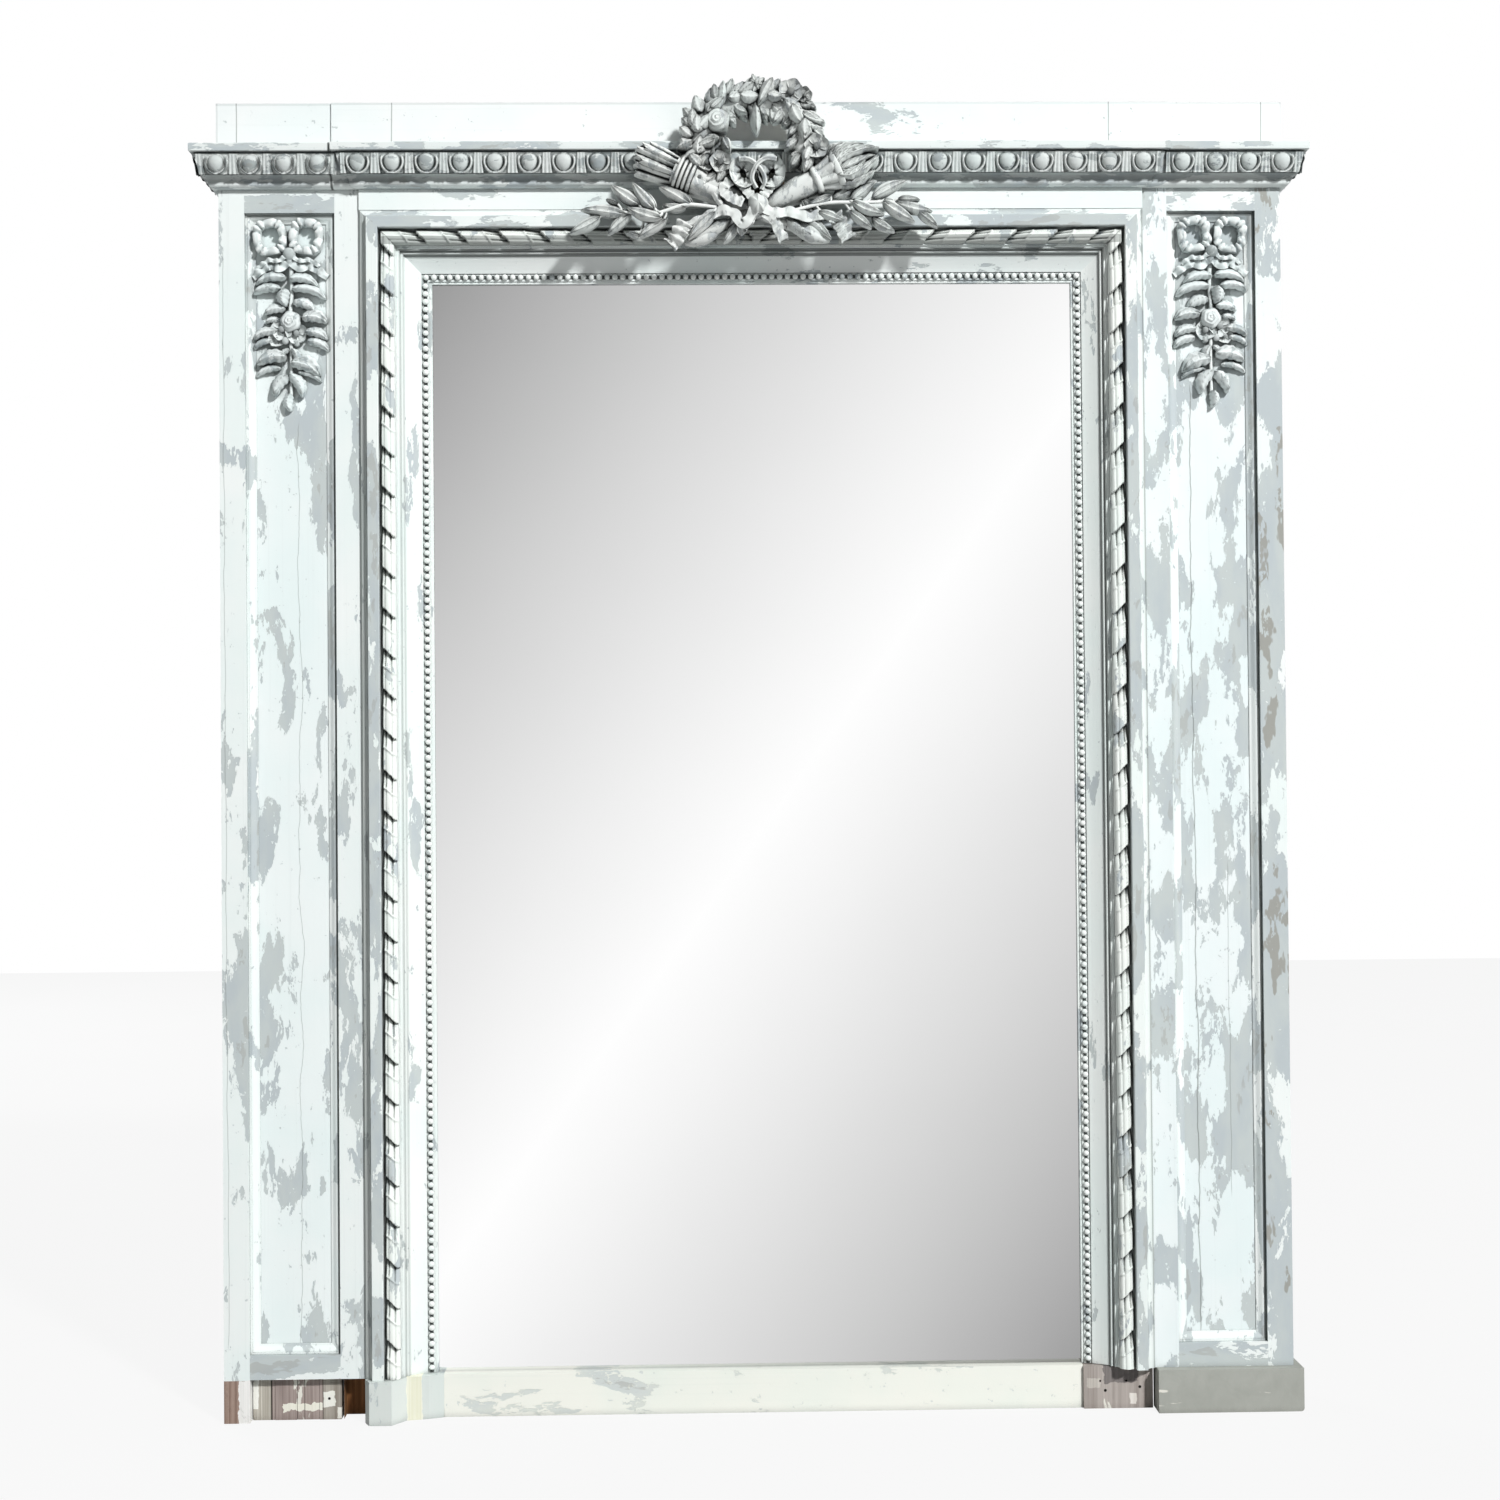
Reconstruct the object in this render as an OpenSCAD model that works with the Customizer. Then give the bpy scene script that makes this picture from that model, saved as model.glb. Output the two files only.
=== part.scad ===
// Carved overmantel mirror: a moulded frame between two panelled pilasters, under an
// egg-and-dart cornice with an attic board, with a carved trophy crest and carved drops.
// Millimetres. X is to the right, Z is up and the front faces -Y. The origin is on the base,
// in the middle of the width and of the depth. The modules work from the wall: a depth is a
// distance forward from it, and placed() moves each piece to the origin at the end.

/* [Overall] */
// Width of the visible glass
sight_w = 938; // [860:1:1010]
// Height of the visible glass
sight_h = 1586; // [1450:1:1700]
// Height of the plinths and of the bottom board
plinth_h = 62; // [50:1:80]
// Height of the plain frieze between the frame and the cornice
frieze_h = 30; // [26:1:60]
// Height of the attic board above the cornice
attic_h = 67; // [40:1:90]
// Depth from the wall to the front of the stiles
stile_front = 85; // [82:1:92]

/* [Pilasters] */
// Width of the outer stile
outer_stile_w = 37; // [34:1:50]
// Width of the inner stile
inner_stile_w = 36; // [34:1:50]
// Width of the sunk panel between the stiles
panel_w = 130; // [124:1:160]
// Height of the top rail
top_rail_h = 33; // [30:1:60]
// Height of the bottom rail
bottom_rail_h = 35; // [30:1:60]
// Thickness of the stiles and rails
stile_t = 22; // [20:1:24]
// Depth of the panel's face below the stiles
panel_sink = 12; // [10:1:14]
// Thickness of the panel
panel_t = 9; // [8:1:10]
// Width of the moulding round the panel
panel_mould_w = 14; // [10:1:18]
// Height of the moulding round the panel
panel_mould_h = 7.5; // [6:0.5:9]
// Thickness of the side boards
side_t = 18; // [15:1:24]
// Thickness of the plinth boards
plinth_t = 15; // [12:1:20]
// How far the plinth stands out past the pilaster's side
plinth_side = 11; // [8:1:16]

/* [Mirror frame] */
// Width of the outer fillet and cove
cove_w = 12; // [10:1:16]
// Width of the flat band
band_w = 16; // [12:1:22]
// Height of the flat band above the stiles
band_rise = 15; // [12:1:20]
// Width of the channel for the ribbon
ribbon_bed_w = 24; // [23:1:28]
// Width of each of the two small steps
step_w = 5; // [4:1:7]
// Width of the sloping face
slope_w = 24; // [18:1:32]
// Width of the bead channel
bead_bed_w = 11; // [10:0.5:14]
// Width of the fillet at the glass
sight_fillet_w = 4; // [3:0.5:6]
// Overlap of the frame on the glass
rebate_w = 9; // [7:0.5:12]
// Radius of the ribbon moulding
ribbon_r = 11; // [9:0.5:11]
// Length of one turn of the ribbon
ribbon_pitch = 58.5; // [45:0.5:80]
// Radius of one bead
bead_r = 4.7; // [3.6:0.1:4.8]
// Distance between beads
bead_pitch = 11.5; // [10.2:0.1:14]

/* [Back] */
// Thickness of the glass
glass_t = 5; // [4:0.5:6]
// Thickness of the cross battens
batten_t = 22; // [20:1:26]
// Height of each cross batten
batten_h = 60; // [50:1:80]
// Thickness of the backboards
backboard_t = 14; // [10:1:16]
// Gap between backboards
backboard_gap = 1; // [0.5:0.5:3]
// Radius of the hook hole in each hanging plate
hook_r = 5; // [4:0.5:6]
// Thickness of the hanging plates
hang_plate_t = 3; // [2:0.5:4]

/* [Cornice] */
// How far the cornice stands out
cornice_out = 35; // [33:1:45]
// Height of the cornice
cornice_h = 59; // [56:1:75]
// Height of the crown at the top of the cornice
crown_h = 8.5; // [7:0.5:12]
// Height of the groove under the crown
crown_groove = 6; // [4:0.5:8]
// How far the middle of the front stands out past the pilasters
break_out = 4; // [3:1:8]
// Distance between eggs
egg_pitch = 48.6; // [44:0.2:60]
// Radius of an egg
egg_r = 9.6; // [8:0.1:10]
// Thickness of the attic boards
attic_t = 20; // [16:1:24]
// How far the attic boards stand out past the pilasters' sides
attic_side = 3; // [2:1:6]

/* [Carving] */
// Radius of the wreath, to the middle of its garland
wreath_r = 72; // [66:1:76]
// Length of a wreath leaf
wreath_leaf = 36; // [30:1:40]
// Length of a laurel leaf, which sets its width
laurel_leaf = 58; // [50:1:66]
// Relief of the drops on the panels
drop_relief = 22; // [18:1:26]
// Height of a carved drop
drop_h = 281; // [250:1:290]
// Gap between a drop and the side mouldings
drop_gap = 1; // [1:0.5:4]
// How far the loops of a drop lie over the top moulding
drop_lap = 9; // [4:1:12]

/* [Hidden] */
$fn = 24;

// Clearance of a tenon, a tongue or a plate in its seat
fit = 0.2;
// Clearance between carved pieces and what they lie on
lay = 0.3;

frame_w = cove_w + band_w + ribbon_bed_w + 2 * step_w + slope_w + bead_bed_w + sight_fillet_w;
sight_x = sight_w / 2;
frame_x = sight_x + frame_w;
panel_x0 = frame_x + inner_stile_w;
panel_x1 = panel_x0 + panel_w;
half_w = panel_x1 + outer_stile_w;

sight_top = plinth_h + sight_h;
frame_top = sight_top + frame_w;
cornice_z = frame_top + frieze_h;
attic_z = cornice_z + cornice_h;
full_h = attic_z + attic_h;

frame_back = batten_t + backboard_t;
stile_back = stile_front - stile_t;
panel_front = stile_front - panel_sink;
middle_front = stile_front + break_out;
band_front = stile_front + band_rise;

// Depths of the frame's faces, from the band down to the glass
fillet_d = stile_front + 3;
ribbon_bed_d = band_front - 17;
step_1_d = ribbon_bed_d - 3;
step_2_d = step_1_d - 4;
slope_top_d = step_2_d - 3;
slope_end_d = slope_top_d - 13;
bead_bed_d = slope_end_d - 2;
sight_fillet_d = bead_bed_d - 2;
glass_front = sight_fillet_d - 4;
glass_back = glass_front - glass_t;

// How far the crest stands out at its knot, which is the front of the whole mirror
knot_h = 46;
full_d = middle_front + cornice_out + lay + knot_h;

// Moves a piece from the wall to the middle of the depth
module placed() {
  translate([0, full_d / 2, 0]) children();
}

// A box from corner to corner: x, then depth from the wall, then z
module board(x0, x1, d0, d1, z0, z1) {
  translate([x0, -d1, z0]) cube([x1 - x0, d1 - d0, z1 - z0]);
}

// The right-hand piece as it is, or its mirror image on the left
module on_side(s) {
  if (s < 0) mirror([1, 0, 0]) children();
  else children();
}

// The half-space outside a vertical 45 degree mitre that starts at (x, d) and runs out and forward
module beyond_mitre(x, d) {
  far = 4000;
  translate([x, -d, -1]) rotate([0, 0, 45]) translate([0, -far / 2, 0]) cube([far, far, far]);
}

// The half-space inside the same mitre
module before_mitre(x, d) {
  far = 4000;
  translate([x, -d, -1]) rotate([0, 0, 45]) translate([-far, -far / 2, 0]) cube([far, far, far]);
}

// Pilasters

tenon_t = 8;
tenon_l = 24;
tenon_d = stile_back + 10;
tongue_t = 5;
tongue_l = 6;
tongue_d = stile_back + 2;
rail_z0 = plinth_h;
rail_z1 = cornice_z - top_rail_h;
opening_z0 = plinth_h + bottom_rail_h;

module tenon(x0, x1, z0, z1, slack) {
  board(x0 - slack, x1 + slack, tenon_d - slack, tenon_d + tenon_t + slack, z0 - slack, z1 + slack);
}

module rail_tenons(z0, z1, slack = 0) {
  tenon(panel_x0 - tenon_l, panel_x0, z0 + 5, z1 - 5, slack);
  tenon(panel_x1, panel_x1 + tenon_l, z0 + 5, z1 - 5, slack);
}

module panel_tongue(slack = 0) {
  board(panel_x0 - tongue_l - slack, panel_x1 + tongue_l + slack, tongue_d - slack,
        tongue_d + tongue_t + slack, opening_z0 - tongue_l - slack, rail_z1 + tongue_l + slack);
}

module sockets() {
  rail_tenons(plinth_h, opening_z0, fit);
  rail_tenons(rail_z1, cornice_z, fit);
  panel_tongue(fit);
}

module side_board() {
  color("lightgray") board(half_w - side_t, half_w, 0, stile_back, 0, cornice_z);
}

module outer_stile() {
  color("whitesmoke") difference() {
    board(panel_x1, half_w, stile_back, stile_front, 0, cornice_z);
    sockets();
  }
}

module inner_stile() {
  color("whitesmoke") difference() {
    board(frame_x, panel_x0, stile_back, stile_front, plinth_h, cornice_z);
    sockets();
  }
}

module rail(z0, z1) {
  color("whitesmoke") {
    difference() {
      board(panel_x0, panel_x1, stile_back, stile_front, z0, z1);
      panel_tongue(fit);
    }
    rail_tenons(z0, z1);
  }
}

module panel() {
  color("aliceblue") {
    board(panel_x0 + fit, panel_x1 - fit, panel_front - panel_t, panel_front,
          opening_z0 + fit, rail_z1 - fit);
    panel_tongue();
  }
}

// Ogee strip in the corner between the panel and its frame, seen from its end
function ogee(w, h, steps) = concat(
  [[0, 0], [w, 0], [w, h * 0.15]],
  [for (i = [0:steps]) let (t = i / steps)
    [w * (0.92 - 0.66 * t), h * (0.22 + 0.5 * (1 - cos(180 * t)) * 0.6)]],
  [[w * 0.2, h * 0.82], [w * 0.2, h], [0, h]]
);

// One strip along +Z from the origin, its back corner on the axis, its ends mitred
module mould_strip(length) {
  gap = 0.15;
  waste_w = 4 * panel_mould_w;
  difference() {
    linear_extrude(length) polygon([for (p = ogee(panel_mould_w, panel_mould_h, 7)) [p[0], -p[1]]]);
    translate([0, 1, gap * 1.5]) rotate([0, 45, 0])
      translate([0, -2 * panel_sink, -waste_w]) cube([waste_w, 3 * panel_sink, waste_w]);
    translate([0, 1, length - gap * 1.5]) rotate([0, -45, 0])
      translate([0, -2 * panel_sink, 0]) cube([waste_w, 3 * panel_sink, waste_w]);
  }
}

module panel_moulding() {
  h = rail_z1 - opening_z0;
  d = panel_front + fit;
  color("ghostwhite") {
    translate([panel_x0 + fit, -d, opening_z0]) mould_strip(h);
    translate([panel_x1 - fit, -d, opening_z0]) mirror([1, 0, 0]) mould_strip(h);
    translate([panel_x0, -d, opening_z0 + fit]) rotate([0, 90, 0]) mirror([1, 0, 0]) mould_strip(panel_w);
    translate([panel_x0, -d, rail_z1 - fit]) rotate([0, 90, 0]) mould_strip(panel_w);
  }
}

// The feet

// Bare boards that show where the left plinth has come away
module rough_foot() {
  front = stile_front - 14;
  board_t = 20;
  n = 4;
  w = (panel_w - 2) / n;
  color("rosybrown") {
    for (i = [0:n - 1])
      board(panel_x0 + 1 + i * w + lay, panel_x0 + 1 + (i + 1) * w - lay, front - board_t,
            front - (i % 2), 0, plinth_h - 0.5);
    board(frame_x + lay, panel_x0, frame_back, frame_back + 12, 0, plinth_h - 0.5);
  }
}

module plinth() {
  x0 = frame_x + 3;
  x1 = half_w + plinth_side;
  wear = 5;
  color("darkgray") difference() {
    union() {
      board(x0, x1, stile_front, stile_front + plinth_t, 0, plinth_h);
      board(half_w, x1, 0, stile_front, 0, plinth_h);
      board(x0, x0 + plinth_t, stile_back, stile_front, 0, plinth_h);
    }
    // worn lower corner
    translate([x1, -stile_front - 2 * plinth_t, 0]) rotate([-90, 0, 0])
      difference() {
        translate([-wear, -wear, 0]) cube([2 * wear, 2 * wear, 4 * plinth_t]);
        translate([-wear, -wear, -1]) cylinder(r = wear, h = 4 * plinth_t + 2);
      }
  }
}

// Plan of the block under the left jamb, stepped like the frame above it
block_front = band_front + 5;
block_in = sight_x - 9;
bottom_front = stile_front - 17;

module jamb_block() {
  color("gainsboro") difference() {
    linear_extrude(plinth_h) polygon([
      [frame_x, -frame_back], [frame_x, -stile_front - 5], [frame_x - 8, -block_front],
      [frame_x - cove_w - band_w - 12, -block_front], [frame_x - cove_w - band_w - 30, -stile_front + 3],
      [sight_x + 12, -stile_front + 9], [block_in, -bottom_front - 1], [block_in, -frame_back]
    ]);
    glass_seat();
    nail_holes();
  }
}

module jamb_core() {
  color("tan") difference() {
    board(sight_x, frame_x, frame_back, stile_front - 12, 0, plinth_h - 1);
    // old nail holes
    for (x = [sight_x + 24, sight_x + 62])
      translate([x, -stile_front + 30, plinth_h * 0.64]) rotate([90, 0, 0]) cylinder(r = 1.6, h = 40);
    glass_seat();
    nail_holes();
  }
}

// The space that the glass takes behind the frame, with its clearance
glass_x = sight_x + rebate_w - 1;
glass_z0 = plinth_h - 10;
glass_z1 = sight_top + rebate_w - 1;

module glass_seat() {
  board(-sight_x - rebate_w, sight_x + rebate_w, 0, glass_front, glass_z0, sight_top + rebate_w);
}

module bottom_board() {
  color("linen") difference() {
    board(-block_in, sight_x, frame_back, bottom_front, 0, plinth_h);
    glass_seat();
    nail_holes();
  }
}

// The mirror frame

// Section of the frame: distance in from its outer edge, then depth from the wall
band_u = cove_w;
bed_u = band_u + band_w;
step_u = bed_u + ribbon_bed_w;
slope_u = step_u + 2 * step_w;
bead_u = slope_u + slope_w;
fillet_u = bead_u + bead_bed_w;

function frame_section() = concat(
  [[0, frame_back], [0, fillet_d], [3.5, fillet_d]],
  [for (i = [0:5]) let (a = 90 * i / 5)
    [3.5 + (cove_w - 3.5) * sin(a), fillet_d + 1 + (band_front - fillet_d - 1) * (1 - cos(a))]],
  [[bed_u - 1, band_front], [bed_u, band_front - 1], [bed_u, ribbon_bed_d],
   [step_u, ribbon_bed_d], [step_u, step_1_d], [step_u + step_w, step_1_d],
   [step_u + step_w, step_2_d], [slope_u, step_2_d], [slope_u, slope_top_d]],
  [for (i = [1:5]) let (t = i / 5)
    [slope_u + slope_w * t, slope_top_d - (slope_top_d - slope_end_d) * (0.7 * t + 0.3 * sin(90 * t))]],
  [[bead_u, bead_bed_d], [fillet_u, bead_bed_d], [fillet_u, sight_fillet_d],
   [frame_w - 0.8, sight_fillet_d], [frame_w, sight_fillet_d - 0.8], [frame_w, glass_front],
   [frame_w - rebate_w, glass_front], [frame_w - rebate_w, frame_back]]
);

// The corner's mitre rises to the right at 45 degrees from the sight corner
module above_mitre(x, z) {
  far = 4000;
  translate([x, -200, z]) rotate([0, -45, 0]) cube([far, 400, far]);
}

module below_mitre(x, z) {
  far = 4000;
  translate([x, -200, z]) rotate([0, -45, 0]) translate([0, 0, -far]) cube([far, 400, far]);
}

module jamb_run() {
  translate([frame_x, 0, plinth_h]) linear_extrude(frame_top - plinth_h + 1)
    polygon([for (p = frame_section()) [-p[0], -p[1]]]);
}

module jamb() {
  color("white") difference() {
    jamb_run();
    above_mitre(sight_x - 1, sight_top - 1);
    nail_holes();
  }
}

module head_run() {
  length = 2 * frame_x + 2;
  translate([-length / 2, 0, frame_top]) rotate([90, 0, 90]) linear_extrude(length)
    polygon([for (p = frame_section()) [-p[1], -p[0]]]);
}

module frame_head() {
  color("white") difference() {
    head_run();
    for (s = [-1, 1]) on_side(s) below_mitre(sight_x - 1, sight_top - 1);
    nail_holes();
  }
}

module frieze_board() {
  color("snow") board(-frame_x, frame_x, middle_front - 24, middle_front, frame_top, cornice_z);
}

// Ribbon wound on a rod: slanting bands of the larger radius on a thinner rod
ribbon_seat = ribbon_bed_d + lay;
ribbon_axis_d = ribbon_seat + 1;

module ribbon_rod(length, turns, lean) {
  rod_r = ribbon_r - 2.6;
  pitch = length / turns;
  band_l = pitch * 0.66;
  intersection() {
    union() {
      cylinder(r = rod_r, h = length);
      intersection() {
        cylinder(r = ribbon_r, h = length);
        for (i = [-1:turns])
          translate([0, 0, (i + 0.5) * pitch]) rotate([0, lean, 0])
            cube([6 * ribbon_r, 6 * ribbon_r, band_l * cos(lean)], center = true);
      }
    }
    translate([-2 * ribbon_r, -2 * ribbon_r, 0]) cube([4 * ribbon_r, 2 * ribbon_r + 1, length]);
  }
}

ribbon_u = bed_u + ribbon_bed_w / 2;

module jamb_ribbon() {
  length = frame_top - ribbon_u - plinth_h - 1;
  color("white") difference() {
    translate([frame_x - ribbon_u, -ribbon_axis_d, plinth_h + lay])
      ribbon_rod(length + ribbon_r, round(length / ribbon_pitch), -42);
    above_mitre(sight_x - 1, sight_top - 1 - lay);
  }
}

module head_ribbon() {
  half = frame_x - ribbon_u + ribbon_r;
  turns = round(half / ribbon_pitch);
  color("white") difference() {
    for (s = [-1, 1]) on_side(s)
      translate([0, -ribbon_axis_d, frame_top - ribbon_u]) rotate([0, 90, 0]) ribbon_rod(half, turns, -42);
    for (s = [-1, 1]) on_side(s) below_mitre(sight_x - 1, sight_top - 1 + lay);
  }
}

// A string of half-round beads along +Z, its flat back on the plane Y = 0
module bead_string(length) {
  n = floor((length - 2 * bead_r) / bead_pitch);
  margin = (length - n * bead_pitch) / 2;
  rod_r = bead_r * 0.42;
  rotate([0, 0, 180]) rotate_extrude(angle = 180) {
    square([rod_r, length]);
    for (i = [0:n]) intersection() {
      translate([0, margin + i * bead_pitch]) circle(r = bead_r);
      translate([0, margin + (i - 0.5) * bead_pitch]) square([bead_r, bead_pitch]);
    }
  }
}

bead_axis_d = bead_bed_d + lay;
bead_line_u = bead_u + bead_bed_w / 2;

module jamb_beads() {
  color("white") translate([frame_x - bead_line_u, -bead_axis_d, plinth_h + lay])
    bead_string(frame_top - bead_line_u - plinth_h - bead_r - 1);
}

module head_beads() {
  half = frame_x - bead_line_u + bead_r - 0.5;
  color("white") translate([-half, -bead_axis_d, frame_top - bead_line_u])
    rotate([0, 90, 0]) bead_string(2 * half);
}

// Glass and back

module mirror_glass() {
  color("silver") board(-glass_x, glass_x, glass_back, glass_front, glass_z0, glass_z1);
}

// Small wedges glued in the rebate behind the glass
module glass_blocks() {
  w = rebate_w - 1.5;
  l = 50;
  color("burlywood") {
    for (s = [-1, 1]) for (z = [0.15, 0.5, 0.85])
      on_side(s) board(sight_x + 1, sight_x + 1 + w, frame_back + 1, glass_back,
                       plinth_h + z * sight_h - l / 2, plinth_h + z * sight_h + l / 2);
    for (x = [-0.3, 0.3])
      board(x * sight_w - l / 2, x * sight_w + l / 2, frame_back + 1, glass_back,
            sight_top + 1, sight_top + 1 + w);
  }
}

back_x = frame_x - 12;
back_z0 = 12;
back_z1 = frame_top - 12;
nail_r = 1.5;
nail_l = 24;

// Where the backboards are nailed: x then z
function nail_points() = [
  for (s = [-1, 1]) for (i = [0:6])
    [s * (sight_x + frame_w * 0.55), back_z0 + 20 + (back_z1 - back_z0 - 40) * i / 6],
  for (x = [-0.62, -0.4, -0.1, 0.1, 0.4, 0.62]) [x * sight_x, sight_top + frame_w * 0.55],
  for (x = [-0.62, -0.4, -0.1, 0.1, 0.4, 0.62]) [x * sight_x, plinth_h * 0.5]
];

module nail_holes() {
  for (p = nail_points())
    translate([p[0], -batten_t + 1, p[1]]) rotate([90, 0, 0]) cylinder(r = nail_r, h = nail_l + 1.5);
}

module backboard(i) {
  w = 2 * back_x / 3;
  color("peru") difference() {
    board(-back_x + i * w + backboard_gap / 2, -back_x + (i + 1) * w - backboard_gap / 2,
          batten_t, frame_back, back_z0, back_z1);
    nail_holes();
  }
}

module backboard_nails() {
  head_r = 3;
  color("dimgray") for (p = nail_points())
    translate([p[0], -batten_t, p[1]]) rotate([90, 0, 0]) {
      cylinder(r = nail_r, h = nail_l);
      translate([0, 0, -1.2]) cylinder(r = head_r, h = 1.2);
    }
}

batten_x = half_w - side_t;
top_batten_z = frame_top - batten_h - 60;
hang_x = sight_x * 0.8;
hang_w = 60;
hang_h = 30;
hang_z = top_batten_z + batten_h / 2;
screw_r = 2;

module batten(z) {
  color("peru") board(-batten_x, batten_x, 0, batten_t, z, z + batten_h);
}

module hang_screw_holes(r, l) {
  for (s = [-1, 1]) for (t = [-1, 1])
    translate([s * hang_x + t * (hang_w / 2 - 8), 0, hang_z]) rotate([90, 0, 0]) cylinder(r = r, h = l);
}

module top_batten() {
  pocket_r = hook_r + 4;
  color("peru") difference() {
    batten(top_batten_z);
    for (s = [-1, 1]) {
      board(s * hang_x - hang_w / 2 - fit, s * hang_x + hang_w / 2 + fit, -1, hang_plate_t,
            hang_z - hang_h / 2 - fit, hang_z + hang_h / 2 + fit);
      translate([s * hang_x, 0, hang_z]) rotate([90, 0, 0]) cylinder(r = pocket_r, h = batten_t - 3);
    }
    hang_screw_holes(screw_r, batten_t - 4);
  }
}

module hanging_plates() {
  color("dimgray") difference() {
    for (s = [-1, 1])
      board(s * hang_x - hang_w / 2, s * hang_x + hang_w / 2, 0, hang_plate_t,
            hang_z - hang_h / 2, hang_z + hang_h / 2);
    for (s = [-1, 1])
      translate([s * hang_x, 1, hang_z]) rotate([90, 0, 0]) cylinder(r = hook_r, h = hang_plate_t + 2);
    translate([0, 1, 0]) hang_screw_holes(screw_r, hang_plate_t + 2);
    for (s = [-1, 1]) for (t = [-1, 1])
      translate([s * hang_x + t * (hang_w / 2 - 8), 0, hang_z]) rotate([90, 0, 0])
        cylinder(r1 = screw_r + 2, r2 = screw_r, h = 2);
  }
}

module hanging_screws() {
  color("silver") for (s = [-1, 1]) for (t = [-1, 1])
    translate([s * hang_x + t * (hang_w / 2 - 8), 0, hang_z]) rotate([90, 0, 0]) {
      cylinder(r1 = screw_r + 2 - fit, r2 = screw_r - fit, h = 2);
      cylinder(r = screw_r - fit, h = batten_t - 6);
    }
}

// Cornice and attic

crown_z0 = cornice_h - crown_h;
egg_z0 = 17;
egg_z1 = crown_z0 - crown_groove;
egg_o0 = cornice_out * 0.60;
egg_o1 = cornice_out * 0.80;
cornice_back = -22;

// Section of the cornice: distance out from the wall face, then height
function cornice_section() = concat(
  [[cornice_back, 0], [cornice_out * 0.08, 0]],
  [for (i = [0:5]) let (a = 90 * i / 5)
    [cornice_out * (0.08 + 0.26 * sin(a)), 6 * (1 - cos(a))]],
  [[cornice_out * 0.34, 9]],
  [for (i = [0:5]) let (a = 90 * i / 5)
    [cornice_out * (0.34 + 0.24 * (1 - cos(a))), 9 + (egg_z0 - 10) * sin(a)]],
  [[egg_o0, egg_z0 - 1], [egg_o0, egg_z0], [egg_o1, egg_z1], [egg_o1 - 2, egg_z1 + 0.5],
   [egg_o1 - 2, crown_z0 - 1.5], [egg_o1 - 0.5, crown_z0], [cornice_out, crown_z0],
   [cornice_out, cornice_h - 1.5], [cornice_out - 1.5, cornice_h], [cornice_back, cornice_h]]
);

// Front run of the cornice from x0 to x1, its base on the plane at depth d
module cornice_front(x0, x1, d) {
  translate([x0, 0, cornice_z]) rotate([90, 0, 90]) linear_extrude(x1 - x0)
    polygon([for (p = cornice_section()) [-d - p[0], p[1]]]);
}

// Return run along Y, its base on the plane x, from depth d0 to d1
module cornice_return(x, d0, d1) {
  translate([x, -d0, cornice_z]) rotate([90, 0, 0]) linear_extrude(d1 - d0)
    polygon(cornice_section());
}

module side_cornice() {
  d = stile_front;
  color("gainsboro") {
    difference() {
      cornice_front(frame_x + cornice_back, half_w + cornice_out + 1, d);
      beyond_mitre(half_w, d);
      // internal mitre against the middle cornice
      before_mitre(frame_x + lay, d);
    }
    intersection() {
      cornice_return(half_w, 0, d + cornice_out + 1);
      beyond_mitre(half_w, d);
    }
  }
}

module middle_cornice() {
  color("gainsboro") for (s = [-1, 1]) on_side(s) {
    difference() {
      cornice_front(-0.1, frame_x + cornice_out + 1, middle_front);
      beyond_mitre(frame_x, middle_front);
    }
    intersection() {
      cornice_return(frame_x, stile_front + cornice_back, middle_front + cornice_out + 1);
      beyond_mitre(frame_x, middle_front);
      before_mitre(frame_x, stile_front);
    }
  }
}

// One egg in its shell, on the plane z = 0, with +Y up the moulding
strip_t = 1.5;
egg_slope = atan2(egg_o1 - egg_o0, egg_z1 - egg_z0);
egg_run = norm([egg_o1 - egg_o0, egg_z1 - egg_z0]);

module egg() {
  shell_r = egg_r + 2.8;
  intersection() {
    translate([0, -0.5, strip_t - 1]) sphere(r = egg_r);
    translate([-egg_r, -egg_r - 1, 0]) cube([2 * egg_r, 2 * egg_r + 1, 2 * egg_r]);
  }
  intersection() {
    translate([0, 0.5, strip_t]) rotate([0, 0, 165]) rotate_extrude(angle = 210)
      translate([shell_r, 0]) circle(r = 1.5);
    translate([-2 * egg_r, -egg_run / 2, 0]) cube([4 * egg_r, egg_run, 2 * egg_r]);
  }
}

// A fluted dart, wider at its foot
module dart() {
  w = egg_pitch / 2 - egg_r - 4.4;
  h = egg_run / 2 - 0.8;
  for (t = [-1, 0, 1])
    translate([0, 0, strip_t - 0.3]) linear_extrude(t == 0 ? 4.6 : 3.6)
      polygon([[t * w * 0.5 - w * 0.17, h], [t * w * 0.5 + w * 0.17, h],
               [t * w * 0.78 + w * 0.24, -h], [t * w * 0.78 - w * 0.24, -h]]);
}

// A strip of eggs and darts; before and after are plain ends for the mitres
module egg_strip(length, eggs, before = 0, after = 0) {
  pitch = length / eggs;
  translate([-before, -egg_run / 2, 0]) cube([length + before + after, egg_run, strip_t]);
  for (i = [0:eggs - 1]) translate([(i + 0.5) * pitch, 0, 0]) egg();
  for (i = [1:eggs - 1]) translate([i * pitch, 0, 0]) dart();
}

// Lays the strip on the sloping face of the cornice; x0 is the strip's end
module on_cornice(x0, d) {
  mid_o = (egg_o0 + egg_o1) / 2;
  mid_z = (egg_z0 + egg_z1) / 2;
  translate([x0, -d - mid_o, cornice_z + mid_z]) rotate([90 + egg_slope, 0, 0])
    translate([0, 0, lay]) children();
}

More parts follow.
